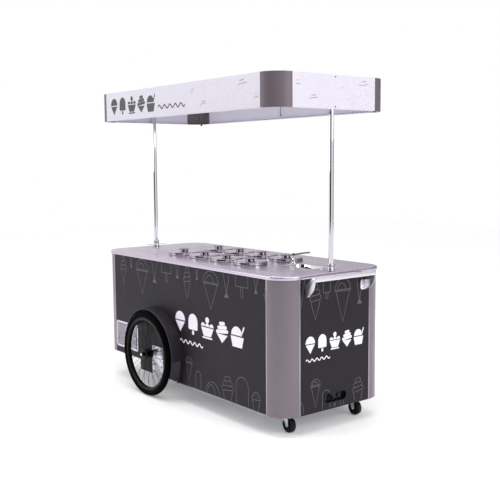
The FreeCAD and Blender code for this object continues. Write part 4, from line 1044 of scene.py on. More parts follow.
# %% Small canopy fittings
bm = bmesh.new()
lathe(bm, [(0, 0), (7.4, 0), (8.4, 1), (8.4, 5), (6.2, 7), (6.2, 15), (5.4, 16), (0, 16)],
      (-can_fx - 60, can_fy + 92, CAN_LOW - 12), steps=24, closed=False)
eye = (2, CAN_Y - 16, CAN_LOW + 24)
lathe(bm, [(0, 0), (4.6, 0), (5.2, 0.8), (5.2, 5), (0, 5)], eye, steps=20, mat=1, closed=False)
stay = [(2, CAN_Y - 16, CAN_LOW + 28), (2, CAN_Y - 16, CAN_LOW + 120), (2, CAN_Y - 30, CAN_LOW + 165)]
sweep(bm, stay, 1.8, 12, mat=1)
fittings = mesh_object("canopy_cable_fittings", bm)
finish(fittings, [black_plastic, zinc_plate], "canopy", sharp=40)
pan_head = item_object("pan_head", dome(4.2, 2.3, 16))
sets = [scattered("screws", pan_head, [(s * CAN_X, 0, z) for z in (CAN_LOW + 13, CAN_TOP - 13)], (s, 0, 0),
                  black_plastic) for s in ENDS.values()]
bpy.data.objects.remove(pan_head)
finish(joined("fascia_screws", sets), [black_coat], "canopy")

# %% [markdown]
# ## Main wheels
# Each wheel is built about its own centre and then moved onto its axle. The tyre has a smooth
# road crown with three grooves, and small blocks on its shoulders; the tree sets them in a ring.

# %% Wheel sizes
tyre_lo, tyre_hi = cad("tyre_front")
WHEEL_R = (tyre_hi.z - tyre_lo.z) / 2
HUB = {side: (sum(cad("tyre_" + side), Vector()) / 2) for side in SIDES}
TYRE = (tyre_hi.y - tyre_lo.y) / 2
print("wheel radius and tyre half width:", WHEEL_R, TYRE)


def shifted(obj, offset):
    obj.data.transform(Matrix.Translation(offset))
    return obj


# %% Tyres
ring_middle = WHEEL_R - TYRE
CROWN = TYRE - 0.9


def crown_point(degrees, inset=0.0):
    """A point of the tyre's section, turned away from the axle's direction."""
    turn = math.radians(degrees)
    return (ring_middle + (CROWN - inset) * math.sin(turn), (CROWN - inset) * math.cos(turn))


section = [(253.5, -13.6), (262.4, -13.6)]
section += [crown_point(218 - 3.2 * k, 1.6 if k in (34, 40, 46) else 0.0) for k in range(81)]
section += [(262.4, 13.6), (253.5, 13.6)]
SHOULDER = 48


def tread_block(side):
    """A block 9 mm along the tread and 6 mm across it, turned to face out of the shoulder."""
    tilt = Matrix.Rotation(math.radians(90 - SHOULDER) * side, 4, "Z")

    def build(bm):
        outline = [(-0.8, -3), (1.0, -2.5), (1.0, 2.5), (-0.8, 3)]
        prism(bm, outline, -4.5, 4.5, "Z")
        bmesh.ops.transform(bm, matrix=tilt, verts=bm.verts)
    return build


tread = []
for side in (-1, 1):
    item = item_object("tread_block", tread_block(side))
    radius, offset = crown_point(SHOULDER)
    tread.append(grown(RING, "tread", {"Item": item, "Count": 76, "Radius": radius, "Offset": side * offset,
                                       "Phase": 0.25 * (side + 1), "Material": tyre_rubber}))
    bpy.data.objects.remove(item)
for side, hub in HUB.items():
    bm = bmesh.new()
    lathe(bm, section, (0, 0, 0), "Y", 144)
    for blocks in tread:
        bm.from_mesh(blocks.data)
    tyre = shifted(mesh_object("road_tyre_" + side, bm), hub)
    finish(tyre, [tyre_rubber], "wheel_" + side, ["tyre_" + side], sharp=40)
for blocks in tread:
    bpy.data.objects.remove(blocks)

# %% [markdown]
# The rim is one rolled hollow section. Thirty-six steel spokes are pulled tight between it and
# the hub by blackened nipples, which sit in two staggered rows.

# %% Rims and nipples
half_rim = [(261.4, 13.9), (262, 14.6), (261.8, 15.6), (261, 16), (257, 16), (251, 15.8), (247, 14.8),
            (243.4, 12.2), (241, 9.4), (239.6, 6), (239.3, 2)]
rim_section = [(253.4, -13.3), (253.4, 13.3), (257.6, 13.5)] + half_rim
rim_section += [(r, -y) for r, y in reversed(half_rim)] + [(257.6, -13.5)]


def nipple(bm):
    profile = [(0, -9), (1.9, -9), (2.3, -8), (2.3, -1), (3.1, 0), (3.1, 1), (0, 1)]
    lathe(bm, profile, (0, 0, 0), "X", 10, closed=False)


def valve_stem(bm):
    profile = [(0, -34), (2.6, -34), (3.4, -32), (3.4, -4), (4.6, 0), (0, 0)]
    lathe(bm, profile, (239.5, 0, 0), "X", 14, closed=False)


SPOKE_COUNT = 36
HUB_CIRCLE = 36.0
item = item_object("nipple", nipple)
rows = [grown(RING, "nipples", {"Item": item, "Count": SPOKE_COUNT // 2, "Radius": 240.0,
                                "Offset": 3.0 * side, "Phase": 0.25 * (side + 1),
                                "Material": zinc_plate}) for side in (-1, 1)]
bpy.data.objects.remove(item)
for side, hub in HUB.items():
    bm = bmesh.new()
    lathe(bm, rim_section, (0, 0, 0), "Y", 144)
    valve_stem(bm)
    rim = shifted(mesh_object("rolled_rim_" + side, bm), hub)
    finish(rim, [black_alloy], "wheel_" + side, ["rim_" + side], sharp=40)
    bm = bmesh.new()
    for row in rows:
        bm.from_mesh(row.data)
    laced = grown(SPOKES, "spokes", {"Count": SPOKE_COUNT, "Hub circle": HUB_CIRCLE, "Rim circle": 234.0,
                                     "Flange offset": 26.0, "Rim offset": 3.0, "Lean": math.radians(30),
                                     "Wire radius": 1.2, "Material": zinc_plate})
    bm.from_mesh(laced.data)
    bpy.data.objects.remove(laced)
    wires = shifted(mesh_object("laced_spokes_" + side, bm), hub)
    finish(wires, [black_alloy], "wheel_" + side, ["spokes_" + side])
for row in rows:
    bpy.data.objects.remove(row)

# %% Hubs
half_hub = [(10.1, 36), (17, 36), (18, 35), (18, 29), (19, 28), (40.6, 28), (42, 27.2), (42, 24.8),
            (40.6, 24), (38, 23.4), (35, 21), (34, 17), (33, 8)]
hub_section = half_hub + [(r, -y) for r, y in reversed(half_hub)]


def elbow_head(bm):
    profile = [(0, -29.4), (1.4, -29.2), (2.2, -28.4), (2.2, -27), (0, -27)]
    lathe(bm, profile, (0, 0, 0), "Y", 10, closed=False)


elbow = item_object("spoke_elbow", elbow_head)
heads = grown(RING, "elbows", {"Item": elbow, "Count": SPOKE_COUNT // 2, "Radius": HUB_CIRCLE,
                               "Material": black_alloy})
bpy.data.objects.remove(elbow)
for side, hub in HUB.items():
    bm = bmesh.new()
    lathe(bm, hub_section, (0, 0, 0), "Y", 64)
    bm.from_mesh(heads.data)
    flanged = shifted(mesh_object("flanged_hub_" + side, bm), hub)
    finish(flanged, [black_alloy], "wheel_" + side, ["hub_" + side], sharp=40)
bpy.data.objects.remove(heads)

# %% [markdown]
# The stub axle is welded to a steel plate, which is bolted through the panel to the chassis. The
# plate stays bright, and shows between the spokes.

# %% Axle brackets, bolts and nuts


def hexagon(radius, cx=0.0, cy=0.0):
    return [(cx + radius * math.cos(math.radians(60 * i)), cy + radius * math.sin(math.radians(60 * i)))
            for i in range(6)]


def hex_bolt(bm):
    lathe(bm, [(0, 0), (8.4, 0), (8.6, 0.5), (8.2, 1.3), (0, 1.3)], (0, 0, 0), steps=24, closed=False)
    prism(bm, hexagon(6.4), 1.3, 5.0)


bolt_sets = []
PLATE_THICK = 5
for side, sign in SIDES.items():
    lo, hi = cad("axle_bracket_" + side)
    hub = HUB[side]
    face = HALF_W + PLATE_THICK
    bm = bmesh.new()
    outline = rounded_outline(hi.x - lo.x, hi.z - lo.z, 12, 8, (lo.x + hi.x) / 2, (lo.z + hi.z) / 2)
    ends = span(sign * HALF_W, sign * face)
    prism(bm, outline, ends[0], ends[1], "Y")
    near, far = face, max(abs(lo.y), abs(hi.y))
    turned = [(0, near), (25, near), (22.4, near + 3), (22, near + 6), (22, near + 58.8), (15, near + 59.4),
              (15, abs(hub.y) - 36.4), (10, abs(hub.y) - 36.4), (10, far - 1.4), (8.8, far), (0, far)]
    lathe(bm, [(r, sign * y) for r, y in turned], (hub.x, 0, hub.z), "Y", 48, mat=1, closed=False)
    bracket = bevelled(mesh_object("axle_plate_" + side, bm), 0.8, 2)
    finish(bracket, [handle_steel, black_coat], "cart", ["axle_bracket_" + side])
    bolt = item_object("hex_bolt", hex_bolt)
    spots = [(hub.x + dx * (hi.x - lo.x), sign * face, z) for dx in (-0.38, 0.38)
             for z in (lo.z + 18, lo.z + 70, hi.z - 18)]
    bolt_sets.append(scattered("bolts", bolt, spots, (0, sign, 0), zinc_plate))
    bpy.data.objects.remove(bolt)
    bm = bmesh.new()
    nut = span(sign * (abs(hub.y) + 36.3), sign * (abs(hub.y) + 47.3))
    bore = arc(hub.x, hub.z, 10.1, 0, 300, 5)
    frame_prism(bm, hexagon(15, hub.x, hub.z), bore, nut[0], nut[1], "Y")
    nut = bevelled(mesh_object("axle_nut_" + side, bm), 0.9, 2)
    finish(nut, [black_coat], "cart")
bolts = finish(joined("bracket_bolts", bolt_sets), [zinc_plate], "cart", ["fasteners"])
print("bolt faces:", len(bolts.data.polygons))

# %% [markdown]
# ## Mudguards
# A rolled sheet stands out from the panel over each wheel. Its free edge is turned in, so that it
# is stiff and safe to brush against, and a narrow skirt carries on down to the panel's foot. The
# side that faces the tyre is black, partly as a black coating and partly as painted shade in the arch.

# %% Mudguards


def arc_sheet(bm, centre, section, start, stop, steps):
    """Turns a closed (radius, y) section about Y between two angles and closes its ends."""
    rings = []
    for i in range(steps + 1):
        turn = math.radians(start + (stop - start) * i / steps)
        rings.append([bm.verts.new((centre.x + r * math.cos(turn), y, centre.z + r * math.sin(turn)))
                      for r, y in section])
    for low, high in zip(rings, rings[1:]):
        for i in range(len(section)):
            j = (i + 1) % len(section)
            bm.faces.new((low[i], low[j], high[j], high[i]))
    bm.faces.new(rings[0])
    bm.faces.new(rings[-1])


GUARD_R = 325.0
for side, sign in SIDES.items():
    lo, hi = cad("mudguard_" + side)
    hub = HUB[side]
    depth = max(abs(lo.y), abs(hi.y)) - HALF_W
    foot = math.degrees(math.asin((lo.z - hub.z) / GUARD_R))
    rolled = [(2.5, 0), (0, 0), (0, depth - 2.6), (0.8, depth - 0.9), (2.6, depth), (7, depth),
              (8, depth - 1), (7, depth - 2.2), (3.4, depth - 2.4), (2.5, depth - 3.6)]
    narrow = [(2.5, 0), (0, 0), (0, 21.2), (0.8, 22), (1.7, 22), (2.5, 21.2)]
    flange = [(16, 0), (2.4, 0), (2.4, 2), (16, 2)]
    bm = bmesh.new()
    for section, first, last, steps in ((rolled, 150, -1, 72), (narrow, -1, foot + 0.2, 18),
                                        (flange, 149, 0, 72)):
        outline = [(GUARD_R - inset, sign * (HALF_W + out)) for inset, out in section]
        arc_sheet(bm, hub, outline, first, last, steps)
    # Inner faces take the black finish: partly a black coating, partly painted shade inside the arch.
    for face in bm.faces:
        at = face.calc_center_median()
        inner_face_painted_shade = abs(at.y) - HALF_W < depth - 3 and math.hypot(at.x - hub.x, at.z - hub.z) < GUARD_R - 2.3
        face.material_index = 1 if inner_face_painted_shade else 0
    finish(mesh_object("rolled_guard_" + side, bm), [guard_paint, black_coat], "cart",
           ["mudguard_" + side])

# %% [markdown]
# ## Casters
# A pressed plate, a swivel head with a ball race, a pressed fork, and a rubber-tyred nylon wheel
# that trails behind the king pin so that it follows the push.

# %% Caster plates
bm = bmesh.new()
plate_lo, plate_hi = cad("caster_plates")
CASTER_X = (plate_lo.x + plate_hi.x) / 2
CASTER_Y = plate_hi.y - 38
bolt = item_object("hex_bolt", hex_bolt)
for sign in SIDES.values():
    prism(bm, rounded_outline(96, 76, 9, 6, CASTER_X, sign * CASTER_Y), plate_hi.z - 3, plate_hi.z)
    lathe(bm, [(0, 0), (9, 0), (10, 0.8), (10, 3), (6, 3), (6, 19), (0, 19)],
          (CASTER_X, sign * CASTER_Y, plate_lo.z), steps=32, closed=False)
plates = bevelled(mesh_object("plates", bm), 0.5, 2)
spots = [(CASTER_X + dx, sign * CASTER_Y + dy, plate_hi.z - 3) for sign in SIDES.values()
         for dx in (-38, 38) for dy in (-28, 28)]
heads = scattered("plate_bolts", bolt, spots, (0, 0, -1), zinc_plate)
bpy.data.objects.remove(bolt)
finish(joined("caster_top_plates", [plates, heads]), [zinc_plate], "cart", ["caster_plates"])

# %% Forks and wheels
for side, sign in SIDES.items():
    lo, hi = cad("caster_fork_" + side)
    wheel_lo, wheel_hi = cad("caster_wheel_" + side)
    hub = (wheel_lo + wheel_hi) / 2
    y = sign * CASTER_Y
    bm = bmesh.new()
    high, low = hi.z, hi.z - 12
    race = [(6.1, low), (20, low), (25, low + 1.4), (27, low + 4), (27, high - 3.4), (25.6, high - 2),
            (24, high - 1.6), (24, high), (6.1, high)]
    lathe(bm, race, (CASTER_X, y, 0), steps=48)
    for leg in (-1, 1):
        ys = span(y + leg * 19, y + leg * 22)
        outline = [(CASTER_X - 26, low + 3), (CASTER_X - 20, low), (hub.x + 2, low), (hub.x + 8, low - 6)]
        outline += [(hub.x + 12.4, hub.z + 6)] + arc(hub.x, hub.z, 13, 0, -180, 12)
        outline += [(hub.x - 16, hub.z + 12), (CASTER_X - 16, hub.z + 34)]
        prism(bm, outline, ys[0], ys[1], "Y")
        flat = span(y + leg * 22, y + leg * 25.6)
        prism(bm, hexagon(7, hub.x, hub.z), flat[0], flat[1], "Y")
    crown = rounded_outline(hub.x - CASTER_X + 28, 44, 10, 8, (CASTER_X + hub.x - 18) / 2, y)
    prism(bm, crown, low - 0.2, low + 2.8)
    axle = [(0, y - 19), (4, y - 19), (4, y + 19), (0, y + 19)]
    lathe(bm, axle, (hub.x, 0, hub.z), "Y", 20, closed=False)
    fork = bevelled(mesh_object("pressed_fork_" + side, bm), 0.7, 2)
    finish(fork, [zinc_plate], "caster_fork_" + side, ["caster_fork_" + side])
    bm = bmesh.new()
    tread = [(35, -15.4), (36, -16), (43, -16), (46.4, -15), (48.4, -12.6), (49, -9)]
    lathe(bm, tread + [(r, -h) for r, h in reversed(tread)], hub, "Y", 64)
    core = [(4.1, 16), (10, 16), (11.4, 15), (12, 9.4), (14, 8.4), (29, 7.6), (32, 9), (33, 13.4), (35, 14)]
    lathe(bm, core + [(r, -h) for r, h in reversed(core)], hub, "Y", 64, mat=1)
    rib = item_object("rib", lambda bm: block(bm, (-10.5, -12, -1.4), (10.5, 12, 1.4)))
    ribs = grown(RING, "ribs", {"Item": rib, "Count": 6, "Radius": 22.0, "Material": caster_core})
    bpy.data.objects.remove(rib)
    ribs.data.transform(Matrix.Translation(hub))
    count = len(bm.faces)
    bm.from_mesh(ribs.data)
    bm.faces.ensure_lookup_table()
    for face in bm.faces[count:]:
        face.material_index = 1
    bpy.data.objects.remove(ribs)
    wheel = mesh_object("trailing_wheel_" + side, bm)
    node = "caster_wheel_" + side
    finish(wheel, [caster_rubber, caster_core], node, [node], sharp=40)

# %% [markdown]
# ## Push handle
# A square tube runs between two plates that sweep up from the end panel. The plates were cut from
# 4 mm sheet, and each is held by three pan-head screws.

# %% Handle bar and brackets


def arc_through(p, q, r, steps):
    """Points on the circle through three points, from the first to the last."""
    (ax, ay), (bx, by), (cx, cy) = p, q, r
    d = 2 * (ax * (by - cy) + bx * (cy - ay) + cx * (ay - by))
    aa, bb, cc = ax * ax + ay * ay, bx * bx + by * by, cx * cx + cy * cy
    ux = (aa * (by - cy) + bb * (cy - ay) + cc * (ay - by)) / d
    uy = (aa * (cx - bx) + bb * (ax - cx) + cc * (bx - ax)) / d
    first, last = math.atan2(ay - uy, ax - ux), math.atan2(cy - uy, cx - ux)
    if last - first > math.pi:
        last -= 2 * math.pi
    if first - last > math.pi:
        last += 2 * math.pi
    radius = math.hypot(ax - ux, ay - uy)
    return [(ux + radius * math.cos(first + (last - first) * i / steps),
             uy + radius * math.sin(first + (last - first) * i / steps)) for i in range(steps + 1)]


bar_lo, bar_hi = cad("handle_bar")
bar_x, bar_z = (bar_lo.x + bar_hi.x) / 2, (bar_lo.z + bar_hi.z) / 2
BAR = (bar_hi.x - bar_lo.x) / 2
bm = bmesh.new()
frame_prism(bm, rounded_outline(2 * BAR, 2 * BAR, 5, 6, bar_x, bar_z),
            rounded_outline(2 * BAR - 4, 2 * BAR - 4, 3, 6, bar_x, bar_z), bar_lo.y, bar_hi.y, "Y")
finish(mesh_object("square_push_bar", bm), [handle_steel], "cart", ["handle_bar"], sharp=40)

arm_z = cad("handle_brackets")[0].z
FLANGE_HIGH, FLANGE_WIDE, FLANGE_R, ARM_SHEET = 62, 40, 14, 4
bm = bmesh.new()
for sign in SIDES.values():
    out, top = bar_x + BAR - 1, bar_z + BAR - 1
    middle_of_sweep = (HALF_L + 0.78 * (bar_x - HALF_L), arm_z + 0.28 * (bar_z - arm_z))
    outline = arc_through((HALF_L, arm_z), middle_of_sweep, (out, bar_z - BAR), 20)
    outline += arc(out - 4, top - 4, 4, 0, 90, 5) + [(bar_x - BAR, top), (HALF_L, arm_z + FLANGE_HIGH)]
    ys = span(sign * bar_hi.y, sign * (bar_hi.y + ARM_SHEET))
    prism(bm, outline, ys[0], ys[1], "Y")
    bend = bar_hi.y - FLANGE_WIDE + FLANGE_R
    edge_y = [(bar_hi.y + ARM_SHEET, arm_z + FLANGE_HIGH), (bar_hi.y + ARM_SHEET, arm_z)]
    edge_y += arc(bend, arm_z + FLANGE_R, FLANGE_R, 270, 180, 6)
    edge_y += arc(bend, arm_z + FLANGE_HIGH - FLANGE_R, FLANGE_R, 180, 90, 6)
    prism(bm, [(sign * u, v) for u, v in edge_y], HALF_L, HALF_L + ARM_SHEET, "X")
arms = bevelled(mesh_object("swept_brackets", bm), 0.8, 2)
finish(arms, [handle_steel], "cart", ["handle_brackets"])

# %% Handle screws


def pan_screw(bm):
    profile = [(0, 0), (4.4, 0), (4.6, 0.6), (4.2, 1.8), (3, 2.7), (1.9, 2.9), (1.9, 1.6), (0, 1.6)]
    lathe(bm, profile, (0, 0, 0), steps=20, closed=False)


item = item_object("pan_screw", pan_screw)
sets = []
for sign in SIDES.values():
    spots = [(HALF_L + ARM_SHEET, sign * (bar_hi.y - FLANGE_WIDE * across), arm_z + up * FLANGE_HIGH)
             for up, across in ((0.18, 0.42), (0.5, 0.62), (0.82, 0.42))]
    sets.append(scattered("screws", item, spots, (1, 0, 0), zinc_plate))
    spots = [(bar_x, sign * (bar_hi.y + ARM_SHEET), bar_z)]
    sets.append(scattered("screws", item, spots, (0, sign, 0), zinc_plate))
bpy.data.objects.remove(item)
finish(joined("handle_screws", sets), [zinc_plate], "cart")

# %% [markdown]
# ## Vent plate
# A stamped stainless cover lets air into the condenser. Its slots slant one way in one row and
# the other way in the next, so the web between them is a herringbone of thin bars.

# %% Vent plate with slanted webs
vent_lo, vent_hi = cad("vent_grille")
vent = (vent_lo + vent_hi) / 2
size = vent_hi - vent_lo
BORDER = 14
bm = bmesh.new()
hole = (size.x - 2 * BORDER, size.z - 2 * BORDER)
frame_prism(bm, rounded_outline(size.x, size.z, 20, 8, vent.x, vent.z),
            rounded_outline(hole[0], hole[1], 6, 8, vent.x, vent.z), vent_lo.y, vent_hi.y, "Y")
ROWS = 12
pitch = hole[1] / ROWS
for k in range(1, ROWS):
    z = vent.z - hole[1] / 2 + k * pitch
    reach = hole[0] / 2 + 1
    block(bm, (vent.x - reach, vent_lo.y, z - 1.1), (vent.x + reach, vent_hi.y, z + 1.1))
cover = bevelled(mesh_object("vent_frame", bm), 0.3, 1)
slant = item_object("slant", lambda bm: block(bm, (-1.6, -0.75, -9.0), (1.6, 0.75, 9.0)))
sets = [cover]
for parity, lean in ((0, 0.62), (1, -0.62)):
    spots = [(vent.x - hole[0] / 2 + 8 + 9.2 * i, vent.y, vent.z - hole[1] / 2 + (k + 0.5) * pitch)
             for k in range(ROWS) if k % 2 == parity for i in range(30)]
    sets.append(scattered("webs", slant, spots, (lean, 0, 1), vent_steel))
bpy.data.objects.remove(slant)
item = item_object("pan_screw", pan_screw)
spots = [(vent.x + dx * (size.x / 2 - 12), vent_lo.y, vent.z + dz * (size.z / 2 - 12))
         for dx in (-1, 1) for dz in (-1, 1)]
sets.append(scattered("screws", item, spots, (0, -1, 0), vent_steel))
bpy.data.objects.remove(item)
finish(joined("herringbone_vent", sets), [vent_steel], "cart", ["vent_grille"])

# %% [markdown]
# ## Power inlet
# A recessed oblong cup keeps the mains connector and its switch clear of knocks.

# %% Power inlet
inlet_lo, inlet_hi = cad("power_inlet")
inlet = (inlet_lo + inlet_hi) / 2
deep = inlet_lo.x + 1.5
SOCKET_Y = -35


def oblong(grow):
    height = 54 + 2 * grow
    return rounded_outline(186 + 2 * grow, height, height / 2 - 0.01, 12, 0, inlet.z)


bm = bmesh.new()
frame_prism(bm, oblong(5), oblong(0), HALF_L, HALF_L + 2, "X")
frame_prism(bm, oblong(1.5), oblong(0), inlet_lo.x, HALF_L, "X")
prism(bm, oblong(1.4), inlet_lo.x, deep, "X")
cup = bevelled(mesh_object("cup", bm), 0.7, 2)
bm = bmesh.new()
bm.from_mesh(cup.data)
bpy.data.objects.remove(cup)
lathe(bm, [(16, deep), (18, deep), (19, deep + 1), (19, deep + 10.6), (18, deep + 12), (16, deep + 12)],
      (0, SOCKET_Y, inlet.z), "X", 40)
pin = [(0, deep), (2, deep), (2, deep + 9), (1.2, deep + 10), (0, deep + 10)]
for dy, dz in ((-7, -4), (7, -4), (0, 8)):
    lathe(bm, pin, (0, dy + SOCKET_Y, dz + inlet.z), "X", 12, mat=1, closed=False)
prism(bm, rounded_outline(26, 24, 3, 5, 42, inlet.z), deep, deep + 5, "X")
rocker = [(33, inlet.z - 9), (51, inlet.z - 9), (51, inlet.z + 9), (33, inlet.z + 9)]
prism(bm, rocker, deep + 5, deep + 8, "X")
socket = mesh_object("oblong_inlet", bm)
finish(socket, [black_plastic, zinc_plate], "cart", ["power_inlet"], sharp=40)

# %% [markdown]
# ## Prints
# The film carries thin line drawings of cones and lollies, and a row of solid pictograms where a
# trader's name would be. Each drawing is a set of strokes on a flat (across, up) plane, laid on
# the panel as a very thin cut film. Strokes stop at the panel's edge.

# %% Strokes and plates of film
FILM = 0.35

def facing(way, reach):
    """A plane that faces -y, +y, +x or -x at the given distance; u runs to the reader's right."""
    return {"front": lambda u, v, w: (u, -(reach + w), v), "back": lambda u, v, w: (-u, reach + w, v),
            "right": lambda u, v, w: (reach + w, u, v), "left": lambda u, v, w: (-(reach + w), -u, v)}[way]


def strip(bm, plane, points, width):
    """A flat band of film along a polyline, with mitred bends."""
    points = [Vector(p) for p in points]
    rings = []
    for i, point in enumerate(points):
        before, after = points[max(i - 1, 0)], points[min(i + 1, len(points) - 1)]
        ways = [way.normalized() for way in (point - before, after - point) if way.length > 1e-6]
        way = sum(ways, Vector((0, 0))).normalized()
        mitre = min(2.0, 1 / max(0.3, way.dot(ways[0])))
        side = Vector((-way.y, way.x)) * width / 2 * mitre
        left, right = point + side, point - side
        corners = ((left, 0.02), (right, 0.02), (right, FILM), (left, FILM))
        rings.append([bm.verts.new(plane(p.x, p.y, w)) for p, w in corners])
    for low, high in zip(rings, rings[1:]):
        for i in range(4):
            j = (i + 1) % 4
            bm.faces.new((low[i], low[j], high[j], high[i]))
    bm.faces.new(rings[0])
    bm.faces.new(rings[-1])


def plate(bm, plane, outline):
    low = [bm.verts.new(plane(u, v, 0.02)) for u, v in outline]
    high = [bm.verts.new(plane(u, v, FILM)) for u, v in outline]
    bm.faces.new(low)
    bm.faces.new(high)
    for i in range(len(low)):
        j = (i + 1) % len(low)
        bm.faces.new((low[i], low[j], high[j], high[i]))


def clipped(points, window, holes=()):
    """The runs of a polyline that lie inside a window and outside every hole."""
    def inside(p, box):
        return box[0] <= p[0] <= box[1] and box[2] <= p[1] <= box[3]

    def kept(p):
        return inside(p, window) and not any(inside(p, hole) for hole in holes)

    dense = [points[0]]
    for a, b in zip(points, points[1:]):
        count = max(1, math.ceil(math.dist(a, b) / 6))
        dense += [(a[0] + (b[0] - a[0]) * k / count, a[1] + (b[1] - a[1]) * k / count)
                  for k in range(1, count + 1)]
    if all(kept(p) for p in dense):
        return [points]
    runs = [[]]
    for p in dense:
        if kept(p):
            runs[-1].append(p)
        else:
            runs.append([])
    return [run for run in runs if len(run) > 1]


# %% [markdown]
# The drawings themselves. Each returns its strokes, and the footed glass also a filled foot.

# %% Line drawings


def capsule(cx, cz, length, thick, tilt=0.0):
    """A stadium outline, tilted by some degrees."""
    half = max(length / 2 - thick / 2, 0.1)
    points = arc(half, 0, thick / 2, -90, 90, 8) + arc(-half, 0, thick / 2, 90, 270, 8)
    c, s = math.cos(math.radians(tilt)), math.sin(math.radians(tilt))
    return [(cx + c * u - s * v, cz + s * u + c * v) for u, v in points]


def loop(points):
    return points + points[:1]


def soft_serve(cx, tip, width, rim, top):
    tall = (top - rim) / 3.3
    strokes = [[(cx - 0.43 * width, rim), (cx, tip), (cx + 0.43 * width, rim)]]
    for k, share in enumerate((1.0, 0.8, 0.5)):
        strokes.append(loop(capsule(cx, rim + tall * (0.55 + k), width * share, tall * 0.92, 7)))
    return strokes


def scoop_cone(cx, tip, width, rim, top):
    half = width / 2
    dome_high = min(half, top - rim - 8)
    dome_line = [(cx + half * math.cos(t), rim + 8 + dome_high * math.sin(t))
                 for t in (math.pi * k / 20 for k in range(21))]
    inner = [(cx - 0.15 * half + 0.5 * half * math.cos(t), rim + 10 + 0.6 * dome_high * math.sin(t))
             for t in (math.pi * k / 14 for k in range(15))]
    cone = [(cx - 0.88 * half, rim), (cx, tip), (cx + 0.88 * half, rim)]
    collar = loop([(cx - half, rim), (cx + half, rim), (cx + half, rim + 8), (cx - half, rim + 8)])
    return [cone, collar, dome_line, inner]


def footed_glass(cx, foot, width, top):
    bend = foot + 0.26 * min(top - foot, 160)
    return [[(cx + sign * width / 2, top), (cx + sign * 4, bend), (cx + sign * 4, foot + 26)]
            for sign in (-1, 1)]


def glass_foot(cx, foot, half):
    return [(cx - half, foot), (cx + half, foot), (cx + 4, foot + 28), (cx - 4, foot + 28)]


def bar_lolly(cx, low, width, top, stick):
    half = width / 2
    body = [(cx + half, low)] + arc(cx, top - half, half, 0, 180, 16) + [(cx - half, low), (cx + half, low)]
    grip = min(0.16 * width, 11)
    return [body, [(cx - grip, low)] + arc(cx, stick + grip, grip, 180, 360, 8) + [(cx + grip, low)]]


def arch(cx, width, low, top):
    half = width / 2
    return [[(cx - half, low)] + arc(cx, top - half, half, 180, 0, 16) + [(cx + half, low)]]


def half_round(cx, width, low, top):
    outer = arc(cx, low, width / 2, 180, 0, 20)
    lift = (top - low) / (width / 2)
    return [[(u, low + (v - low) * lift) for u, v in outer],
            [(cx - 0.1 * width + (u - cx) * 0.55, low + (v - low) * lift * 0.75) for u, v in outer]]


def line_print(name, plane, strokes, feet, window, holes, made, body, width=4.4):
    bm = bmesh.new()
    for points in strokes:
        for run in clipped(points, window, holes):
            strip(bm, plane, run, width)
    for outline in feet:
        plate(bm, plane, outline)
    return finish(mesh_object(name, bm), [made], body)

# %% [markdown]
# The drawings repeat along the long side. The upper row hangs behind the counter's edge, and the
# lower row grows out of the panel's foot.

# %% Drawings on the serving side
REPEAT = 866
front = []
front_feet = []
for base in (-REPEAT, 0, REPEAT):
    front += soft_serve(77 + base, 742, 84, 852, 956)
    front += footed_glass(196 + base, 877, 46, 1000)
    front += scoop_cone(352 + base, 699, 168, 868, 952)
    front += footed_glass(524 + base, 800, 86, 990)
    front += bar_lolly(684 + base, 886, 124, 1100, 819)
    front += footed_glass(824 + base, 862, 62, 1000)
    for cx, foot, half in ((196, 877, 12), (524, 800, 27), (824, 862, 16)):
        if abs(cx + base) < FLAT_X - 40:
            front_feet.append(glass_foot(cx + base, foot, half))
for base in (0, REPEAT):
    front += scoop_cone(86 + base, 168, 76, 292, 352)
    front += arch(196 + base, 62, 60, 257)
    front += half_round(360 + base, 156, 134, 216)
    front += soft_serve(526 + base, 40, 128, 196, 296)
    front += arch(681 + base, 126, 60, 315)
    front += soft_serve(820 + base, 60, 88, 200, 252)
window = (-FLAT_X + 12, FLAT_X - 12, LOW["right"] + 8, UNDER - 2)
line_print("serving_side_drawings", facing("front", HALF_W), front, front_feet, window, (),
           line_ink, "cart")

# %% Drawings on both ends


def end_drawings(cut_low):
    strokes = soft_serve(-170, 704, 90, 818, 930) + bar_lolly(-76, 862, 58, 1000, 824)
    strokes += scoop_cone(60, 665, 134, 858, 946) + footed_glass(207, 761, 78, 990)
    strokes += footed_glass(-290, 760, 78, 990)
    strokes += scoop_cone(-169, 160, 76, 290, 349) + arch(-79, 64, 60, 253) + half_round(30, 84, 134, 214)
    strokes += soft_serve(197, 40, 96, 196, 290) + half_round(-300, 70, 134, 220)
    feet = [glass_foot(207, 761, 24)]
    return strokes, feet, (-FLAT_Y + 11, FLAT_Y - 11, cut_low + 8, UNDER - 2)


strokes, feet, window = end_drawings(LOW["right"])
line_print("handle_end_drawings", facing("right", HALF_L), strokes, feet, window,
           ((-99, 99, 163, 231),), line_ink, "cart")
strokes, feet, window = end_drawings(LOW["left"])
line_print("far_end_drawings", lambda u, v, w: (-(HALF_L + w), u, v), strokes, feet, window, (), line_ink,
           "cart")

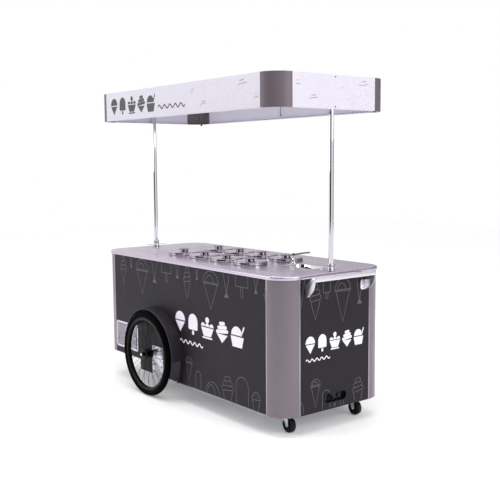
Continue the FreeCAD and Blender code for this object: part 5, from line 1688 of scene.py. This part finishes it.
# %% Drawings on the canopy
long_side = soft_serve(228, 1991, 62, 2084, 2146) + footed_glass(338, 2060, 84, 2156)
long_side += soft_serve(352, 1976, 82, 2010, 2058) + bar_lolly(440, 2035, 98, 2158, 1997)
long_side += scoop_cone(616, 1972, 118, 2052, 2122) + arch(616, 52, 2062, 2110)
long_side += soft_serve(752, 1974, 120, 2098, 2164) + soft_serve(885, 1976, 60, 2012, 2070)
short_side = soft_serve(-300, 1992, 58, 2082, 2148) + footed_glass(-202, 2073, 98, 2160)
short_side += soft_serve(-178, 1976, 94, 2012, 2062) + bar_lolly(-78, 2022, 82, 2152, 1990)
short_side += scoop_cone(77, 1972, 146, 2048, 2122) + arch(77, 60, 2058, 2104)
short_side += soft_serve(240, 1974, 124, 2100, 2166)
window = (-can_fx + 8, can_fx - 8, CAN_LOW + 5, CAN_TOP - 4)
for way in ("front", "back"):
    line_print("canopy_drawings_" + way, facing(way, CAN_Y), long_side, (), window, (), pale_ink, "canopy",
               3.6)
window = (-can_fy + 8, can_fy - 8, CAN_LOW + 5, CAN_TOP - 4)
for way in ("right", "left"):
    line_print("canopy_drawings_" + way, facing(way, CAN_X), short_side, (), window, (), pale_ink, "canopy",
               3.6)

# %% [markdown]
# The solid pictograms stand where the trader's own sign goes: a scoop in a cone, a lolly, a
# sundae cup, a soft-serve and a tub, with a plain wave under or beside them.

# %% Solid pictograms
ROW_LENGTH, ROW_HEIGHT = 780, 144


def pictograms():
    """Outlines of five solid pictograms in a row 780 long and 144 high."""
    shapes = [[(2, 74), (118, 74), (60, 0)], arc(60, 82, 60, 0, 180, 20)]
    shapes += [arc(216, 90, 54, 0, 180, 18) + arc(172, 44, 10, 180, 270, 5) + arc(260, 44, 10, 270, 360, 5),
               rounded_outline(24, 30, 9, 5, 216, 15)]
    shapes += [[(312, 74), (454, 74), (424, 16), (342, 16)], rounded_outline(112, 11, 5.4, 4, 383, 5.5)]
    shapes += [arc(383 + 48 * k, 81, 23, 0, 180, 12) for k in (-1, 0, 1)] + [capsule(383, 124, 43, 40)]
    shapes += [[(488, 56), (608, 56), (548, 0)]]
    shapes += [capsule(548, 75 + 26 * k, length, 24, 6) for k, length in enumerate((132, 102, 62))]
    shapes += [[(640, 68), (776, 68), (756, 0), (660, 0)], arc(702, 76, 56, 0, 180, 20),
               capsule(766, 112, 62, 12, 64)]
    return shapes


def pictogram_row(bm, plane, x0, x1, z0, z1):
    for outline in pictograms():
        plate(bm, plane, [(x0 + u * (x1 - x0) / ROW_LENGTH, z0 + v * (z1 - z0) / ROW_HEIGHT)
                          for u, v in outline])


def wave(bm, plane, x0, x1, middle, swing, width):
    count = 72
    turns = round((x1 - x0) / (5.2 * swing))
    line = [(x0 + (x1 - x0) * k / count, middle + swing * math.sin(2 * math.pi * turns * k / count))
            for k in range(count + 1)]
    strip(bm, plane, line, width)


END_ROW, END_WAVE = (-250, 246, 500, 608), (-247, -48, 458)
CANOPY_ROW, CANOPY_WAVE = (-850, -228, 2007, 2130), (-190, 142, 2033)
SIGNS = (
    ("serving_side_sign", "front", HALF_W, (-75, 705, 498, 642), (-72, 255, 437), 11, "cart"),
    ("handle_end_sign", "right", HALF_L, END_ROW, END_WAVE, 8, "cart"),
    ("far_end_sign", "left", HALF_L, END_ROW, END_WAVE, 8, "cart"),
    ("canopy_front_sign", "front", CAN_Y, CANOPY_ROW, CANOPY_WAVE, 12, "canopy"),
    ("canopy_back_sign", "back", CAN_Y, CANOPY_ROW, CANOPY_WAVE, 12, "canopy"),
)
for name, way, reach, row, line, swing, body in SIGNS:
    bm = bmesh.new()
    plane = facing(way, reach)
    pictogram_row(bm, plane, *row)
    wave(bm, plane, *line, swing, 0.8 * swing)
    finish(mesh_object(name, bm), [white_ink if body == "cart" else dark_ink], body)

# %% [markdown]
# ## Size of the looks
# The looks must stay inside the design's own box. Both boxes are written down for comparison.

# %% Sizes
visual_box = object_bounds()
for name, (lo, hi) in (("cad", cad_box), ("visual", visual_box)):
    print(name, [round(v, 4) for v in lo], [round(v, 4) for v in hi])
